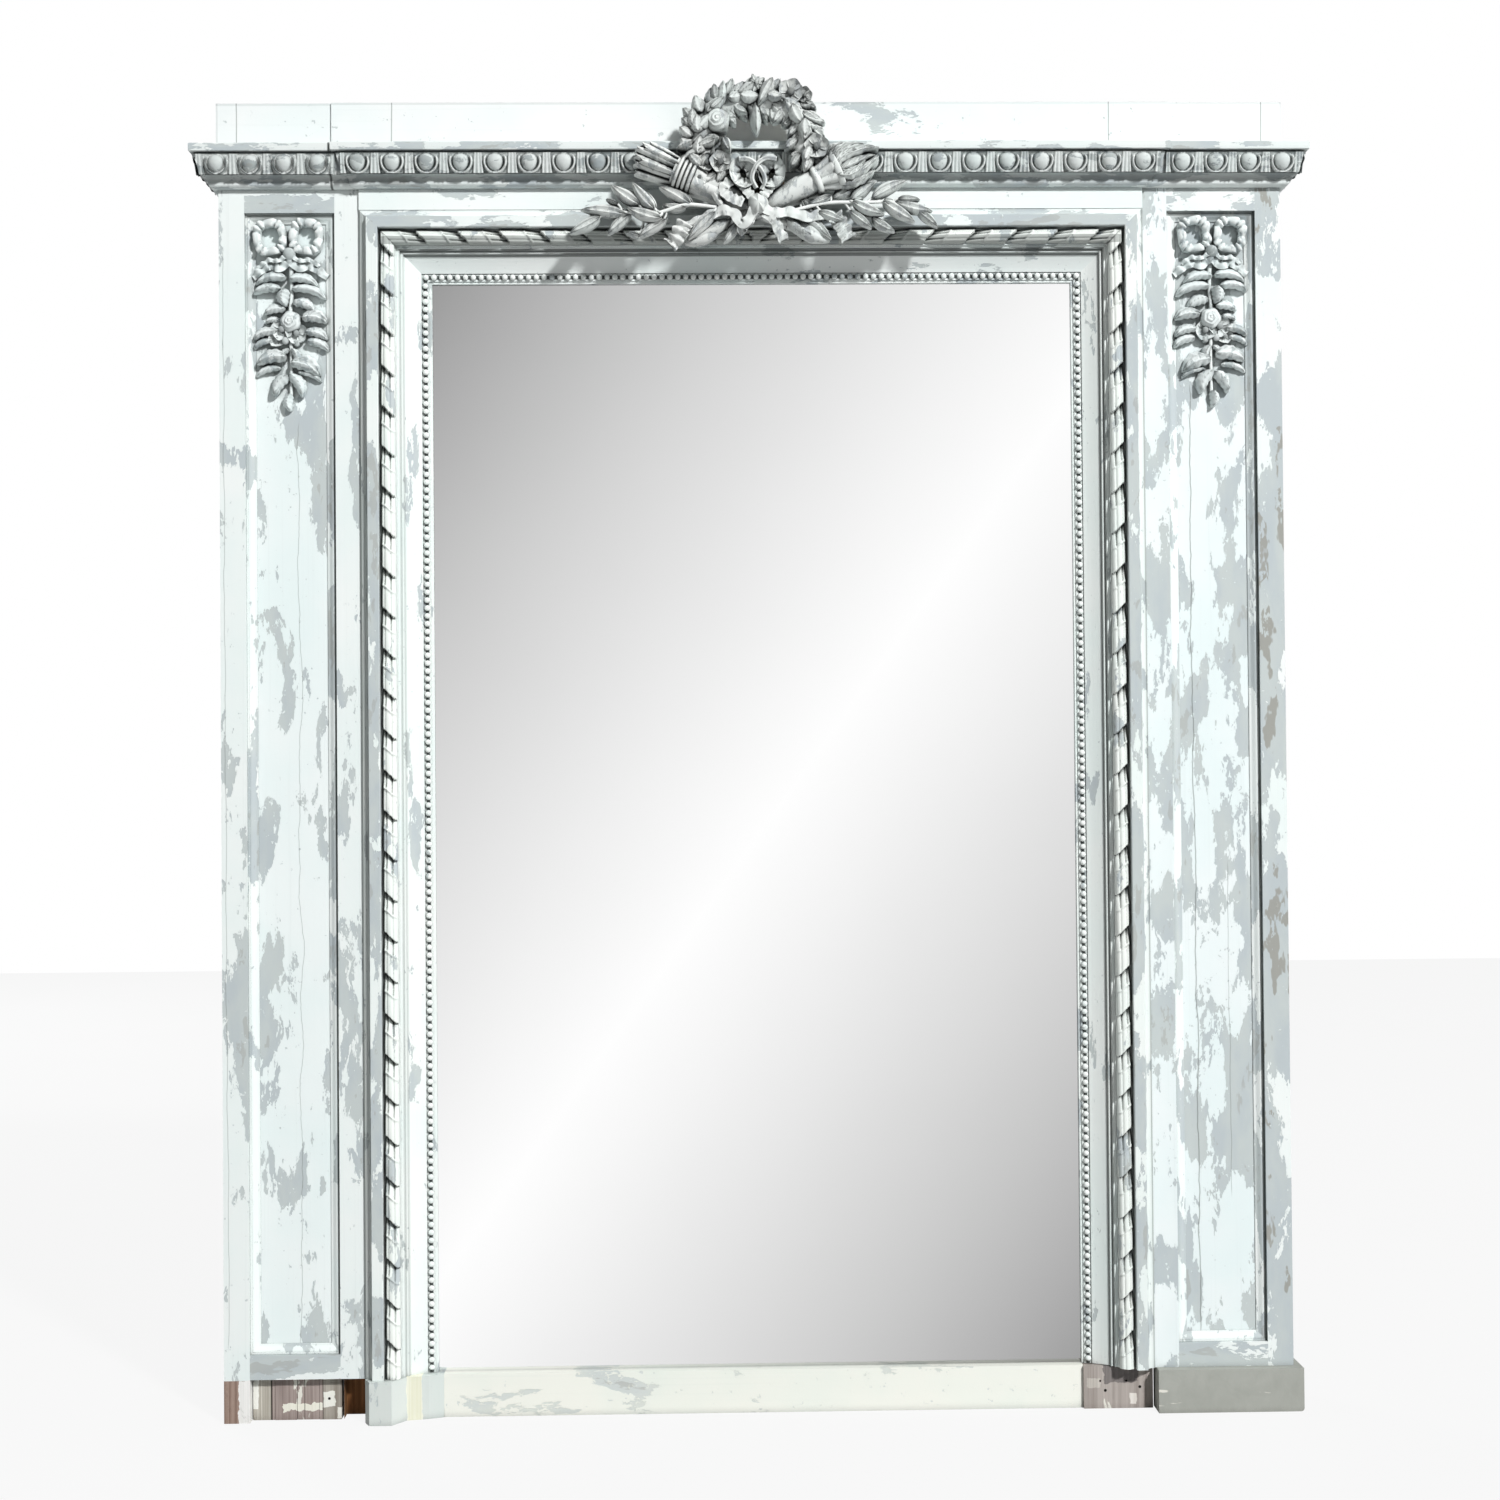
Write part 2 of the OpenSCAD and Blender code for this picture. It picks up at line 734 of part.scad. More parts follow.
module side_egg_and_dart() {
  x0 = frame_x + egg_o1 + 2;
  front_l = half_w + egg_o0 - x0;
  return_l = stile_front + egg_o0;
  corner = egg_o1 - egg_o0 + 3;
  color("lightgray") {
    difference() {
      on_cornice(x0, stile_front) egg_strip(front_l, round(front_l / egg_pitch), 0, corner);
      beyond_mitre(half_w, stile_front);
    }
    intersection() {
      translate([half_w, -stile_front, 0]) rotate([0, 0, 90])
        on_cornice(-egg_o0, 0) egg_strip(return_l, round(return_l / egg_pitch), corner);
      beyond_mitre(half_w, stile_front);
    }
  }
}

module middle_egg_and_dart() {
  length = 2 * (frame_x + egg_o0);
  color("lightgray") on_cornice(-length / 2, middle_front) egg_strip(length, round(length / egg_pitch));
}

attic_joint = frame_x + cornice_out + 4;
attic_x = half_w + attic_side;

module side_attic() {
  front = stile_front + 1;
  color("white") board(attic_joint + lay, attic_x, front - attic_t, front, attic_z, full_h);
}

module middle_attic() {
  color("white") board(-attic_joint, attic_joint, middle_front - attic_t, middle_front, attic_z, full_h);
}

module attic_returns() {
  color("white") for (s = [-1, 1]) on_side(s)
    board(attic_x - side_t, attic_x, 0, stile_front + 1 - attic_t, attic_z, full_h);
}

// Carving: each piece lies on its ground, the plane z = 0 of its own space, with +Y up

// A convex lump through cross-sections [y, half width, height at the edge, height at the ridge]
module lump(sections) {
  points = [for (s = sections) each [
    [-s[1], s[0], 0], [s[1], s[0], 0], [-s[1], s[0], s[2]], [s[1], s[0], s[2]], [0, s[0], s[3]]
  ]];
  last = len(points) - 3;
  hull() polyhedron(points, [for (i = [0:3:last + 2]) let (k = min(i, last)) [k, k + 1, k + 2]]);
}

// A pointed leaf of length l from the origin along +Y; lift raises it off the ground
module leaf(l, w, t, lift = 0) {
  lump([[0, w * 0.14, lift + t * 0.3, lift + t * 0.6], [l * 0.25, w * 0.42, lift + t * 0.45, lift + t * 0.92],
        [l * 0.6, w * 0.47, lift + t * 0.45, lift + t],
        [l, w * 0.03, lift * 0.9 + t * 0.1, lift * 0.9 + t * 0.3]]);
}

// A leaf from its stalk at (x0, y0) to its tip at (x1, y1)
module leaf_to(x0, y0, x1, y1, w, t, lift = 0) {
  l = norm([x1 - x0, y1 - y0]);
  translate([x0, y0, 0]) rotate([0, 0, atan2(y1 - y0, x1 - x0) - 90]) leaf(l, min(w, l * 0.45), t, lift);
}

// A five-petalled flower of radius r and height t
module flower(r, t, lift = 0) {
  for (i = [0:4]) rotate([0, 0, 72 * i + 10]) hull() {
    cylinder(r = r * 0.2, h = lift + t * 0.5, $fn = 3);
    translate([0, r * 0.62, 0]) cylinder(r1 = r * 0.42, r2 = r * 0.3, h = lift + t * 0.75, $fn = 6);
  }
  hull() {
    cylinder(r = r * 0.36, h = lift + t * 0.9, $fn = 6);
    cylinder(r = r * 0.2, h = lift + t, $fn = 6);
  }
}

// A round-topped flower
module rose(r, t, lift = 0) {
  hull() {
    cylinder(r = r, h = lift + t * 0.45, $fn = 10);
    cylinder(r = r * 0.75, h = lift + t * 0.85, $fn = 10);
    cylinder(r = r * 0.35, h = lift + t, $fn = 10);
  }
}

// A bar through points [x, y, height], of width w, down to the ground
module bar(points, w, sides = 6) {
  for (i = [0:len(points) - 2]) hull() for (p = [points[i], points[i + 1]])
    translate([p[0], p[1], 0]) cylinder(r = w / 2, h = p[2], $fn = sides);
}

// Places carving with its ground on the vertical plane at depth d
module on_plane(x, z, d) {
  translate([x, -d, z]) rotate([90, 0, 0]) children();
}

// Drops on the panels: a bow of ribbon, then leaves in pairs round a stem with a flower.
// The carving is laid out 100 wide and 281 high, down from the top of its loops.
drop_x = (panel_x0 + panel_x1) / 2;
drop_top = rail_z1 - panel_mould_w + drop_lap;
drop_wide = (panel_w - 2 * panel_mould_w - 2 * drop_gap) / 100;
drop_tall = drop_h / 281;

// Leaves of the right half: stalk x, stalk y, tip x, tip y and width
drop_leaves = [
  [3, -87, 48, -97, 17], [7, -100, 49, -116, 16], [4, -125, 37, -137, 14],
  [11, -143, 46, -151, 14], [13, -164, 49, -179, 15], [2, -204, 46, -219, 20],
  [5, -216, 48, -233, 15], [1, -224, 22, -261, 18]
];

module drop_carving() {
  t = drop_relief;
  for (s = [-1, 1]) {
    bar([for (a = [0:45:360])
      [s * (25 + 18 * cos(a)), -28 + 21 * sin(a), t * (0.62 + 0.06 * cos(2 * a))]], 13);
    hull() for (a = [0:60:300])
      translate([s * (25 + 15 * cos(a)), -28 + 18 * sin(a), 0]) cylinder(r = 2, h = t * 0.3, $fn = 4);
    bar([[s * 4, -55, t * 0.75], [s * 15, -45, t * 0.65]], 12);
    bar([[s * 4, -60, t * 0.55], [s * 20, -70, t * 0.6], [s * 43, -79, t * 0.4]], 12);
    for (b = drop_leaves) leaf_to(s * b[0], b[1], s * b[2], b[3], b[4], t * 0.5);
  }
  hull() {
    translate([0, -54, 0]) cylinder(r = 9, h = t * 0.9, $fn = 8);
    translate([0, -64, 0]) cylinder(r = 7, h = t * 0.85, $fn = 8);
  }
  bar([[0, -62, t * 0.45], [0, -262, t * 0.3]], 8);
  leaf_to(-5, -98, -6, -130, 14, t * 0.8);
  translate([0, -151, 0]) rose(15.5, t);
  translate([-2, -168, 0]) rose(19, t * 0.6);
  leaf_to(0, -186, 1, -214, 12, t * 0.6);
  leaf_to(0, -250, -1, -281, 15, t * 0.55);
}

module drop() {
  color("ghostwhite") difference() {
    on_plane(drop_x, drop_top, panel_front + lay) scale([drop_wide, drop_tall, 1]) drop_carving();
    // the top moulding, which the loops lie over
    board(panel_x0, panel_x1, panel_front, panel_front + fit + panel_mould_h + lay,
          rail_z1 - panel_mould_w - lay, rail_z1);
  }
}

// The crest: everything is measured from the knot of its bow
crest_d = middle_front + cornice_out + lay;
knot_x = 8;
knot_z = cornice_z - 42;
wreath_y = 100;

module on_crest() {
  on_plane(knot_x, knot_z, crest_d) children();
}

// A slice of a shaft that lies on the ground along X: half round, of radius r, with its top at h
module slice(x, r, h) {
  translate([x, 0, 0]) rotate([90, 0, 90]) linear_extrude(0.5) polygon(concat(
    [[-r, 0], [r, 0]], [for (a = [0:30:180]) [r * cos(a), max(0, h - r) + min(r, h) * sin(a)]]));
}

// A shaft through slices [x, r, h]
module shaft(slices) {
  for (i = [0:len(slices) - 2]) hull() {
    slice(slices[i][0], slices[i][1], slices[i][2]);
    slice(slices[i + 1][0], slices[i + 1][1], slices[i + 1][2]);
  }
}

// Torch and quiver crossed behind the knot
torch_turn = 25;
quiver_turn = 156;
torch = [[-115, 2, 8], [-84, 11, 18], [-52, 8, 14], [-16, 9, 18], [20, 12, 24], [92, 21, 33]];
torch_cup = [[91, 24, 37], [103, 24, 38], [104, 22, 34], [122, 28, 39], [130, 31, 42], [131, 28, 38]];
quiver = [[-110, 3, 8], [-82, 12, 18], [-50, 9, 15], [40, 14, 26], [104, 20, 33], [130, 22, 36]];

module trophy() {
  rotate([0, 0, torch_turn]) {
    shaft(torch);
    shaft(torch_cup);
    for (f = [[-21, 40], [-12, 52], [-3, 62], [6, 57], [14, 62], [22, 44]])
      leaf_to(124, f[0], 128 + f[1], f[0] * 0.8 + 4, 17, 18, 20);
  }
  rotate([0, 0, quiver_turn]) {
    shaft(quiver);
    for (i = [0:3]) hull() for (x = [105, 109]) slice(x + 6.5 * i, 23 + 0.5 * i, 38 + 0.5 * i);
    for (f = [[-20, 40], [-12, 50], [-4, 58], [4, 54], [12, 56], [20, 46]])
      translate([124, f[0] * 0.9, 0]) rotate([0, 0, f[0] * 0.5 - 90])
        lump([[0, 4, 22, 30], [f[1] - 6, 5, 24, 36], [f[1], 3, 20, 26]]);
  }
}

// The wreath: a garland open at its foot, with leaves, roses and a hanging bud
function garland(a) = [wreath_r * sin(a) * (abs(a) > 90 ? 1 + (abs(a) - 90) / 300 : 1),
                       wreath_y + wreath_r * 0.86 * cos(a) - (abs(a) > 90 ? (abs(a) - 90) * 0.5 : 0)];

// Flowers and roses from the middle of the wreath: x, y and radius
wreath_flowers = [[-4, 60, 24], [42, 55, 22], [80, -19, 17], [-54, -38, 16]];
wreath_roses = [[-58, 22, 18], [82, 12, 13], [-82, -46, 14]];
// Leaves that stand out past them: stalk x, stalk y, tip x, tip y and width
wreath_tips = [[-52, 38, -49, 82, 17], [-64, 34, -90, 50, 15], [-80, 6, -108, 18, 16], [58, 44, 72, 64, 15]];

module wreath() {
  n = 9;
  first = -118;
  last = 104;
  bar([for (i = [0:n]) let (a = first + (last - first) * i / n, p = garland(a)) [p[0], p[1], 22]], 34, 8);
  for (i = [0:7]) for (side = [-1, 1]) {
    a = first + 4 + (last - first - 8) * i / 7;
    p = garland(a);
    translate([p[0], p[1], 0]) rotate([0, 0, a < 0 ? -a - 90 : -a + 90])
      rotate([0, 0, side * 52]) translate([0, -2, 0]) leaf(wreath_leaf, 22, 13, 17 + 3 * (i % 2));
  }
  k = wreath_r / 72;
  translate([0, wreath_y, 0]) {
    for (f = wreath_flowers) translate([f[0] * k, f[1] * k, 0]) flower(f[2], 13, 28);
    for (f = wreath_roses) translate([f[0] * k, f[1] * k, 0]) rose(f[2], 16, 26);
    for (b = wreath_tips) leaf_to(b[0] * k, b[1] * k, b[2] * k, b[3] * k, b[4], 12, 20);
    // the hanging bud
    leaf_to(-3, 46 * k, -3, 4 * k, 19, 14, 8);
  }
}

// The bow: two loops, the knot, and the ribbon's ends
function bow_loop(s) = [for (a = [0:45:360]) [s * (20 - 19 * cos(a)) - 4, 46 + 19 * sin(a), 32 + 6 * cos(a)]];

module bow() {
  for (s = [-1, 1]) {
    bar(bow_loop(s), 14);
    bar([[s * 2, 2, 40], [s * 14 - 3, 20, 36], [s * 26 - 4, 32, 34]], 12);
    bar([[0, -4, 36], [s * 26 - 2, -20, 30], [s * 56, -12, 24], [s * 84, -20, 20]], 12);
    bar([[s * 84, -20, 20], [s * 104, -34, 18], [s * 112, -50, 16]], 15);
    bar([[0, -6, 36], [s * 8 - 8, -24, 30], [s * 26 - 10, -36, 20]], 12);
  }
  hull() {
    translate([0, 5, 0]) cylinder(r = 11, h = knot_h, $fn = 10);
    translate([-4, -7, 0]) cylinder(r = 10, h = knot_h - 2, $fn = 10);
  }
}

// Laurel branches: stalk x, stalk y, tip x, tip y and lift of each leaf
left_leaves = [
  [-169, 3, -211, 33, 12], [-148, -4, -180, 36, 16], [-96, 3, -142, 30, 14], [-200, 6, -218, 14, 8],
  [-188, -10, -254, -1, 8], [-226, -12, -270, -34, 4], [-182, -6, -216, -36, 6], [-138, -18, -188, -1, 18],
  [-168, -40, -190, -33, 4], [-132, -18, -172, -42, 12], [-62, -9, -100, -46, 18]
];
right_leaves = [
  [132, 9, 168, 38, 10], [162, 13, 214, 40, 8], [106, 12, 152, 48, 6], [104, 14, 70, 2, 18],
  [134, 6, 180, -11, 16], [178, 8, 224, -20, 10], [196, 8, 250, -4, 6], [228, -2, 258, -26, 2],
  [130, -6, 162, -30, 12], [86, -8, 124, -22, 16], [62, 10, 104, -44, 10], [162, -14, 196, -33, 4]
];

// A branch along its stem; each leaf has a stalk from the stem
module branch(leaves, stem) {
  bar(stem, 7);
  for (b = leaves) {
    x = b[0] - 9 * sign(b[0]);
    y = lookup(x, [for (p = stem) [p[0], p[1]]]);
    bar([[x, y, b[4] + 4], [b[0] + (b[2] - b[0]) * 0.2, b[1] + (b[3] - b[1]) * 0.2, b[4] + 4]], 4.5);
    leaf_to(b[0], b[1], b[2], b[3], laurel_leaf * 0.36, 10, b[4]);
  }
}

module crest_trophy() {
  color("lightgray") on_crest() trophy();
}

module crest_wreath() {
  color("lightgray") on_crest() difference() {
    wreath();
    trophy();
  }
}

module crest_bow() {
  color("lightgray") on_crest() difference() {
    bow();
    trophy();
    wreath();
  }
}

module crest_left_branch() {
  color("lightgray") on_crest() difference() {
    branch(left_leaves, [[-226, -12, 8], [-200, -6, 14], [-150, -12, 20], [-104, 2, 22], [-60, -2, 22]]);
    trophy();
    bow();
  }
}

module crest_right_branch() {
  color("lightgray") on_crest() difference() {
    branch(right_leaves, [[46, -8, 22], [96, 4, 22], [150, 6, 18], [200, 8, 12], [230, 0, 6]]);
    trophy();
    bow();
  }
}

// Packing block that carries the crest off the frieze
module crest_bracket() {
  color("burlywood") board(-46, 46, middle_front, crest_d - lay, cornice_z - 28, cornice_z - lay);
}

placed() on_side(-1) side_board();  // left_side_board
placed() on_side(1) side_board();  // right_side_board
placed() on_side(-1) outer_stile();  // left_outer_stile
placed() on_side(1) outer_stile();  // right_outer_stile
placed() on_side(-1) inner_stile();  // left_inner_stile
placed() on_side(1) inner_stile();  // right_inner_stile
placed() on_side(-1) rail(rail_z1, cornice_z);  // left_top_rail
placed() on_side(1) rail(rail_z1, cornice_z);  // right_top_rail
placed() on_side(-1) rail(rail_z0, opening_z0);  // left_bottom_rail
placed() on_side(1) rail(rail_z0, opening_z0);  // right_bottom_rail
placed() on_side(-1) panel();  // left_panel
placed() on_side(1) panel();  // right_panel
placed() on_side(-1) panel_moulding();  // left_panel_moulding
placed() on_side(1) panel_moulding();  // right_panel_moulding
placed() on_side(-1) rough_foot();  // left_rough_foot
placed() on_side(1) plinth();  // right_plinth
placed() on_side(-1) jamb();  // left_jamb
placed() on_side(1) jamb();  // right_jamb
placed() frame_head();
placed() on_side(-1) jamb_ribbon();  // left_ribbon
placed() on_side(1) jamb_ribbon();  // right_ribbon
placed() head_ribbon();
placed() on_side(-1) jamb_beads();  // left_beads
placed() on_side(1) jamb_beads();  // right_beads
placed() head_beads();
placed() on_side(-1) jamb_block();  // left_jamb_block
placed() on_side(1) jamb_core();  // right_jamb_core
placed() bottom_board();
placed() frieze_board();
placed() mirror_glass();
placed() glass_blocks();
placed() backboard(0);  // left_backboard
placed() backboard(1);  // middle_backboard
placed() backboard(2);  // right_backboard
placed() backboard_nails();
placed() top_batten();
placed() batten(full_h * 0.46);  // middle_batten
placed() batten(plinth_h + 20);  // bottom_batten
placed() hanging_plates();
placed() hanging_screws();
placed() on_side(-1) side_cornice();  // left_cornice
placed() middle_cornice();
placed() on_side(1) side_cornice();  // right_cornice
placed() on_side(-1) side_egg_and_dart();  // left_egg_and_dart
placed() middle_egg_and_dart();
placed() on_side(1) side_egg_and_dart();  // right_egg_and_dart
placed() on_side(-1) side_attic();  // left_attic
placed() middle_attic();
placed() on_side(1) side_attic();  // right_attic
placed() attic_returns();
placed() on_side(-1) drop();  // left_drop
placed() on_side(1) drop();  // right_drop
placed() crest_trophy();
placed() crest_wreath();
placed() crest_bow();
placed() crest_left_branch();
placed() crest_right_branch();
placed() crest_bracket();
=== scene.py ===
import logging
import math
import random
from dataclasses import dataclass
from enum import Enum
from typing import Callable, Iterable, Optional, Sequence, Union

import bpy
from mathutils import Matrix, Vector, noise


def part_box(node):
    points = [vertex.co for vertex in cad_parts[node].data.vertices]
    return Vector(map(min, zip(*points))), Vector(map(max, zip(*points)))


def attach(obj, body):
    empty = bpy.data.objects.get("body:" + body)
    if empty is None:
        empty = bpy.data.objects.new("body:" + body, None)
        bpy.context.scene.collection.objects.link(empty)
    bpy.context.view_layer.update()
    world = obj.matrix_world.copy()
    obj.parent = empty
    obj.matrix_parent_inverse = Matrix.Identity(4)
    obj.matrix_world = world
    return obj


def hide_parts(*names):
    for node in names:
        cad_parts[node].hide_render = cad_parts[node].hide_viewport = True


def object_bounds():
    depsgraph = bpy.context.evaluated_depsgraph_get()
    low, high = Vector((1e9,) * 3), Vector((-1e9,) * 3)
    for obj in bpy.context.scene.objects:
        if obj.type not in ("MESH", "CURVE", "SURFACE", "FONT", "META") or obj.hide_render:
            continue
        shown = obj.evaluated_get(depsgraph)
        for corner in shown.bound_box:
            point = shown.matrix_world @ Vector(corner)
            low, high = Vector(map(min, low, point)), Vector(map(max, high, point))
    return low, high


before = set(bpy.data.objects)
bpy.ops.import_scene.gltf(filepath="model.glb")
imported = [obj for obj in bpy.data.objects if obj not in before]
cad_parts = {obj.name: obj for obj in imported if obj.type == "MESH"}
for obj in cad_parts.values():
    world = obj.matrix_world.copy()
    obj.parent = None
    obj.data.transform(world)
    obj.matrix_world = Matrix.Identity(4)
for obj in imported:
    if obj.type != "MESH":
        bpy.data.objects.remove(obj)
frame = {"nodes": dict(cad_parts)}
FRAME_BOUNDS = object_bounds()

LOG = logging.getLogger("scene")
MM = 0.001
# The wall's plane, which the back of the mirror stands against: its y in metres.
WALL = FRAME_BOUNDS[1][1]
# How many rays look for a corner at each point.
CORNER_RAYS = 6

Number = Union[int, float]
Spot = tuple[float, float]
Point = tuple[float, float, float]
Path = Sequence[Point]


# Shader expressions


class Value:
    """A scalar in a shader: a number or a socket, with arithmetic that builds Math nodes."""

    def __init__(self, graph: "Nodes", source: Union[Number, bpy.types.NodeSocket]) -> None:
        """Args:
            graph: the tree that new nodes go into.
            source: a number, or the socket that gives the value.
        """
        self.graph = graph
        self.source = source

    def _math(self, operation: str, *others: "Operand", clamp: bool = False) -> "Value":
        """Args:
            operation: a Math node operation.
            others: the further operands.
            clamp: whether the result is clamped to 0..1.

        Returns:
            The result.
        """
        made = self.graph.node("ShaderNodeMath", {"operation": operation, "use_clamp": clamp})
        for socket, value in zip(made.inputs, (self,) + others):
            self.graph.feed(socket, value)
        return Value(self.graph, made.outputs[0])

    def __add__(self, other: "Operand") -> "Value":
        """Args: other: what is added. Returns: the sum."""
        return self._math("ADD", other)

    def __radd__(self, other: "Operand") -> "Value":
        """Args: other: what this is added to. Returns: the sum."""
        return self._math("ADD", other)

    def __sub__(self, other: "Operand") -> "Value":
        """Args: other: what is taken away. Returns: the difference."""
        return self._math("SUBTRACT", other)

    def __rsub__(self, other: "Operand") -> "Value":
        """Args: other: what this is taken from. Returns: the difference."""
        return Value(self.graph, other)._math("SUBTRACT", self)

    def __mul__(self, other: "Operand") -> "Value":
        """Args: other: the factor. Returns: the product."""
        return self._math("MULTIPLY", other)

    def __rmul__(self, other: "Operand") -> "Value":
        """Args: other: the factor. Returns: the product."""
        return self._math("MULTIPLY", other)

    def __abs__(self) -> "Value":
        """Returns: the value without its sign."""
        return self._math("ABSOLUTE")

    def high(self, other: "Operand") -> "Value":
        """Args: other: the other value. Returns: the larger of the two."""
        return self._math("MAXIMUM", other)

    def clamped(self) -> "Value":
        """Returns: the value clamped to 0..1."""
        return self._math("ADD", 0.0, clamp=True)

    def everywhere(self) -> "Vec":
        """Returns: a vector with the value in all three places."""
        made = self.graph.node("ShaderNodeCombineXYZ", X=self, Y=self, Z=self)
        return Vec(self.graph, made.outputs[0])

    def step(self, low: Number, high: Number) -> "Value":
        """Args:
            low: where the result is 0.
            high: where the result is 1; it may be below low.

        Returns:
            A smooth step of the value.
        """
        falls = high < low
        made = self.graph.node("ShaderNodeMapRange", {"interpolation_type": "SMOOTHSTEP"}, Value=self,
                               From_Min=min(low, high), From_Max=max(low, high),
                               To_Min=float(falls), To_Max=float(not falls))
        return Value(self.graph, made.outputs[0])


Operand = Union[Value, Number]


class Vec:
    """A vector or colour in a shader."""

    # The colour sockets of a Mix node share their names with its other kinds, so they go by number.
    MIX_FIRST, MIX_SECOND, MIX_RESULT = 6, 7, 2

    def __init__(self, graph: "Nodes", source: Union[Sequence[float], bpy.types.NodeSocket]) -> None:
        """Args:
            graph: the tree that new nodes go into.
            source: a constant, or the socket that gives the vector.
        """
        self.graph = graph
        self.source = source

    def _vector(self, operation: str, other: "VecOperand") -> "Vec":
        """Args:
            operation: a Vector Math operation.
            other: the second operand.

        Returns:
            The result.
        """
        made = self.graph.node("ShaderNodeVectorMath", {"operation": operation})
        self.graph.feed(made.inputs[0], self)
        self.graph.feed(made.inputs[1], other)
        return Vec(self.graph, made.outputs[0])

    def __add__(self, other: "VecOperand") -> "Vec":
        """Args: other: what is added. Returns: the sum."""
        return self._vector("ADD", other)

    def __mul__(self, other: "VecOperand") -> "Vec":
        """Args: other: the factors for the three places. Returns: the product."""
        return self._vector("MULTIPLY", other)

    def parts(self) -> tuple[Value, Value, Value]:
        """Returns: the three components."""
        made = self.graph.node("ShaderNodeSeparateXYZ")
        self.graph.feed(made.inputs[0], self)
        return tuple(Value(self.graph, out) for out in made.outputs)

    def mixed(self, other: "VecOperand", factor: Operand) -> "Vec":
        """Args:
            other: the colour mixed in.
            factor: how much of it, 0..1.

        Returns:
            The mixed colour.
        """
        made = self.graph.node("ShaderNodeMix", {"data_type": "RGBA", "clamp_factor": True}, Factor=factor)
        self.graph.feed(made.inputs[self.MIX_FIRST], self)
        self.graph.feed(made.inputs[self.MIX_SECOND], other)
        return Vec(self.graph, made.outputs[self.MIX_RESULT])


VecOperand = Union[Vec, Sequence[float]]


def linear(shade: Number) -> float:
    """Args: shade: 0..255 as seen on a screen. Returns: the linear value."""
    share = shade / 255
    return share / 12.92 if share <= 0.04045 else ((share + 0.055) / 1.055) ** 2.4


def srgb(red: Number, green: Number, blue: Number) -> Point:
    """Args: red, green, blue: 0..255 as seen on a screen. Returns: the linear colour."""
    return linear(red), linear(green), linear(blue)


class Nodes:
    """A node tree, filled node by node."""

    def __init__(self, tree: bpy.types.NodeTree) -> None:
        """Args: tree: the tree; what it holds is cleared."""
        self.tree = tree
        tree.nodes.clear()

    def node(self, kind: str, settings: Optional[dict[str, object]] = None,
             **inputs: object) -> bpy.types.Node:
        """Args:
            kind: the node type.
            settings: attributes to set on it.
            inputs: socket values by name, with underscores for spaces.

        Returns:
            The new node.
        """
        made = self.tree.nodes.new(kind)
        for key, value in (settings or {}).items():
            setattr(made, key, value)
        for key, value in inputs.items():
            self.feed(made.inputs[key.replace("_", " ")], value)
        return made

    def feed(self, socket: bpy.types.NodeSocket, value: object) -> None:
        """Links or sets a socket.

        Args:
            socket: the input.
            value: a Value, a Vec, a socket, a number or a sequence.
        """
        if isinstance(value, (Value, Vec)):
            value = value.source
        if isinstance(value, bpy.types.NodeSocket):
            self.tree.links.new(value, socket)
        elif isinstance(value, (int, float)):
            socket.default_value = value
        else:
            room = len(socket.default_value)
            socket.default_value = tuple(value) + (1.0,) * (room - len(value))

    def seen(self, share: float = 1.0) -> Value:
        """Args:
            share: how much of it the camera sees.

        Returns:
            That share before the camera, 1 in reflections and through glass, and 0 for other light.
        """
        rays = self.node("ShaderNodeLightPath").outputs
        glossy, through = Value(self, rays["Is Glossy Ray"]), Value(self, rays["Is Transmission Ray"])
        return (Value(self, rays["Is Camera Ray"]) * share).high(glossy).high(through)

    def blend(self, first: bpy.types.Node, second: bpy.types.Node, share: Value) -> bpy.types.NodeSocket:
        """Args:
            first: a shader.
            second: the shader that is mixed in.
            share: how much of the second, 0..1.

        Returns:
            The mixed shader.
        """
        made = self.node("ShaderNodeMixShader")
        for socket, value in zip(made.inputs, (share, first.outputs[0], second.outputs[0])):
            self.feed(socket, value)
        return made.outputs[0]


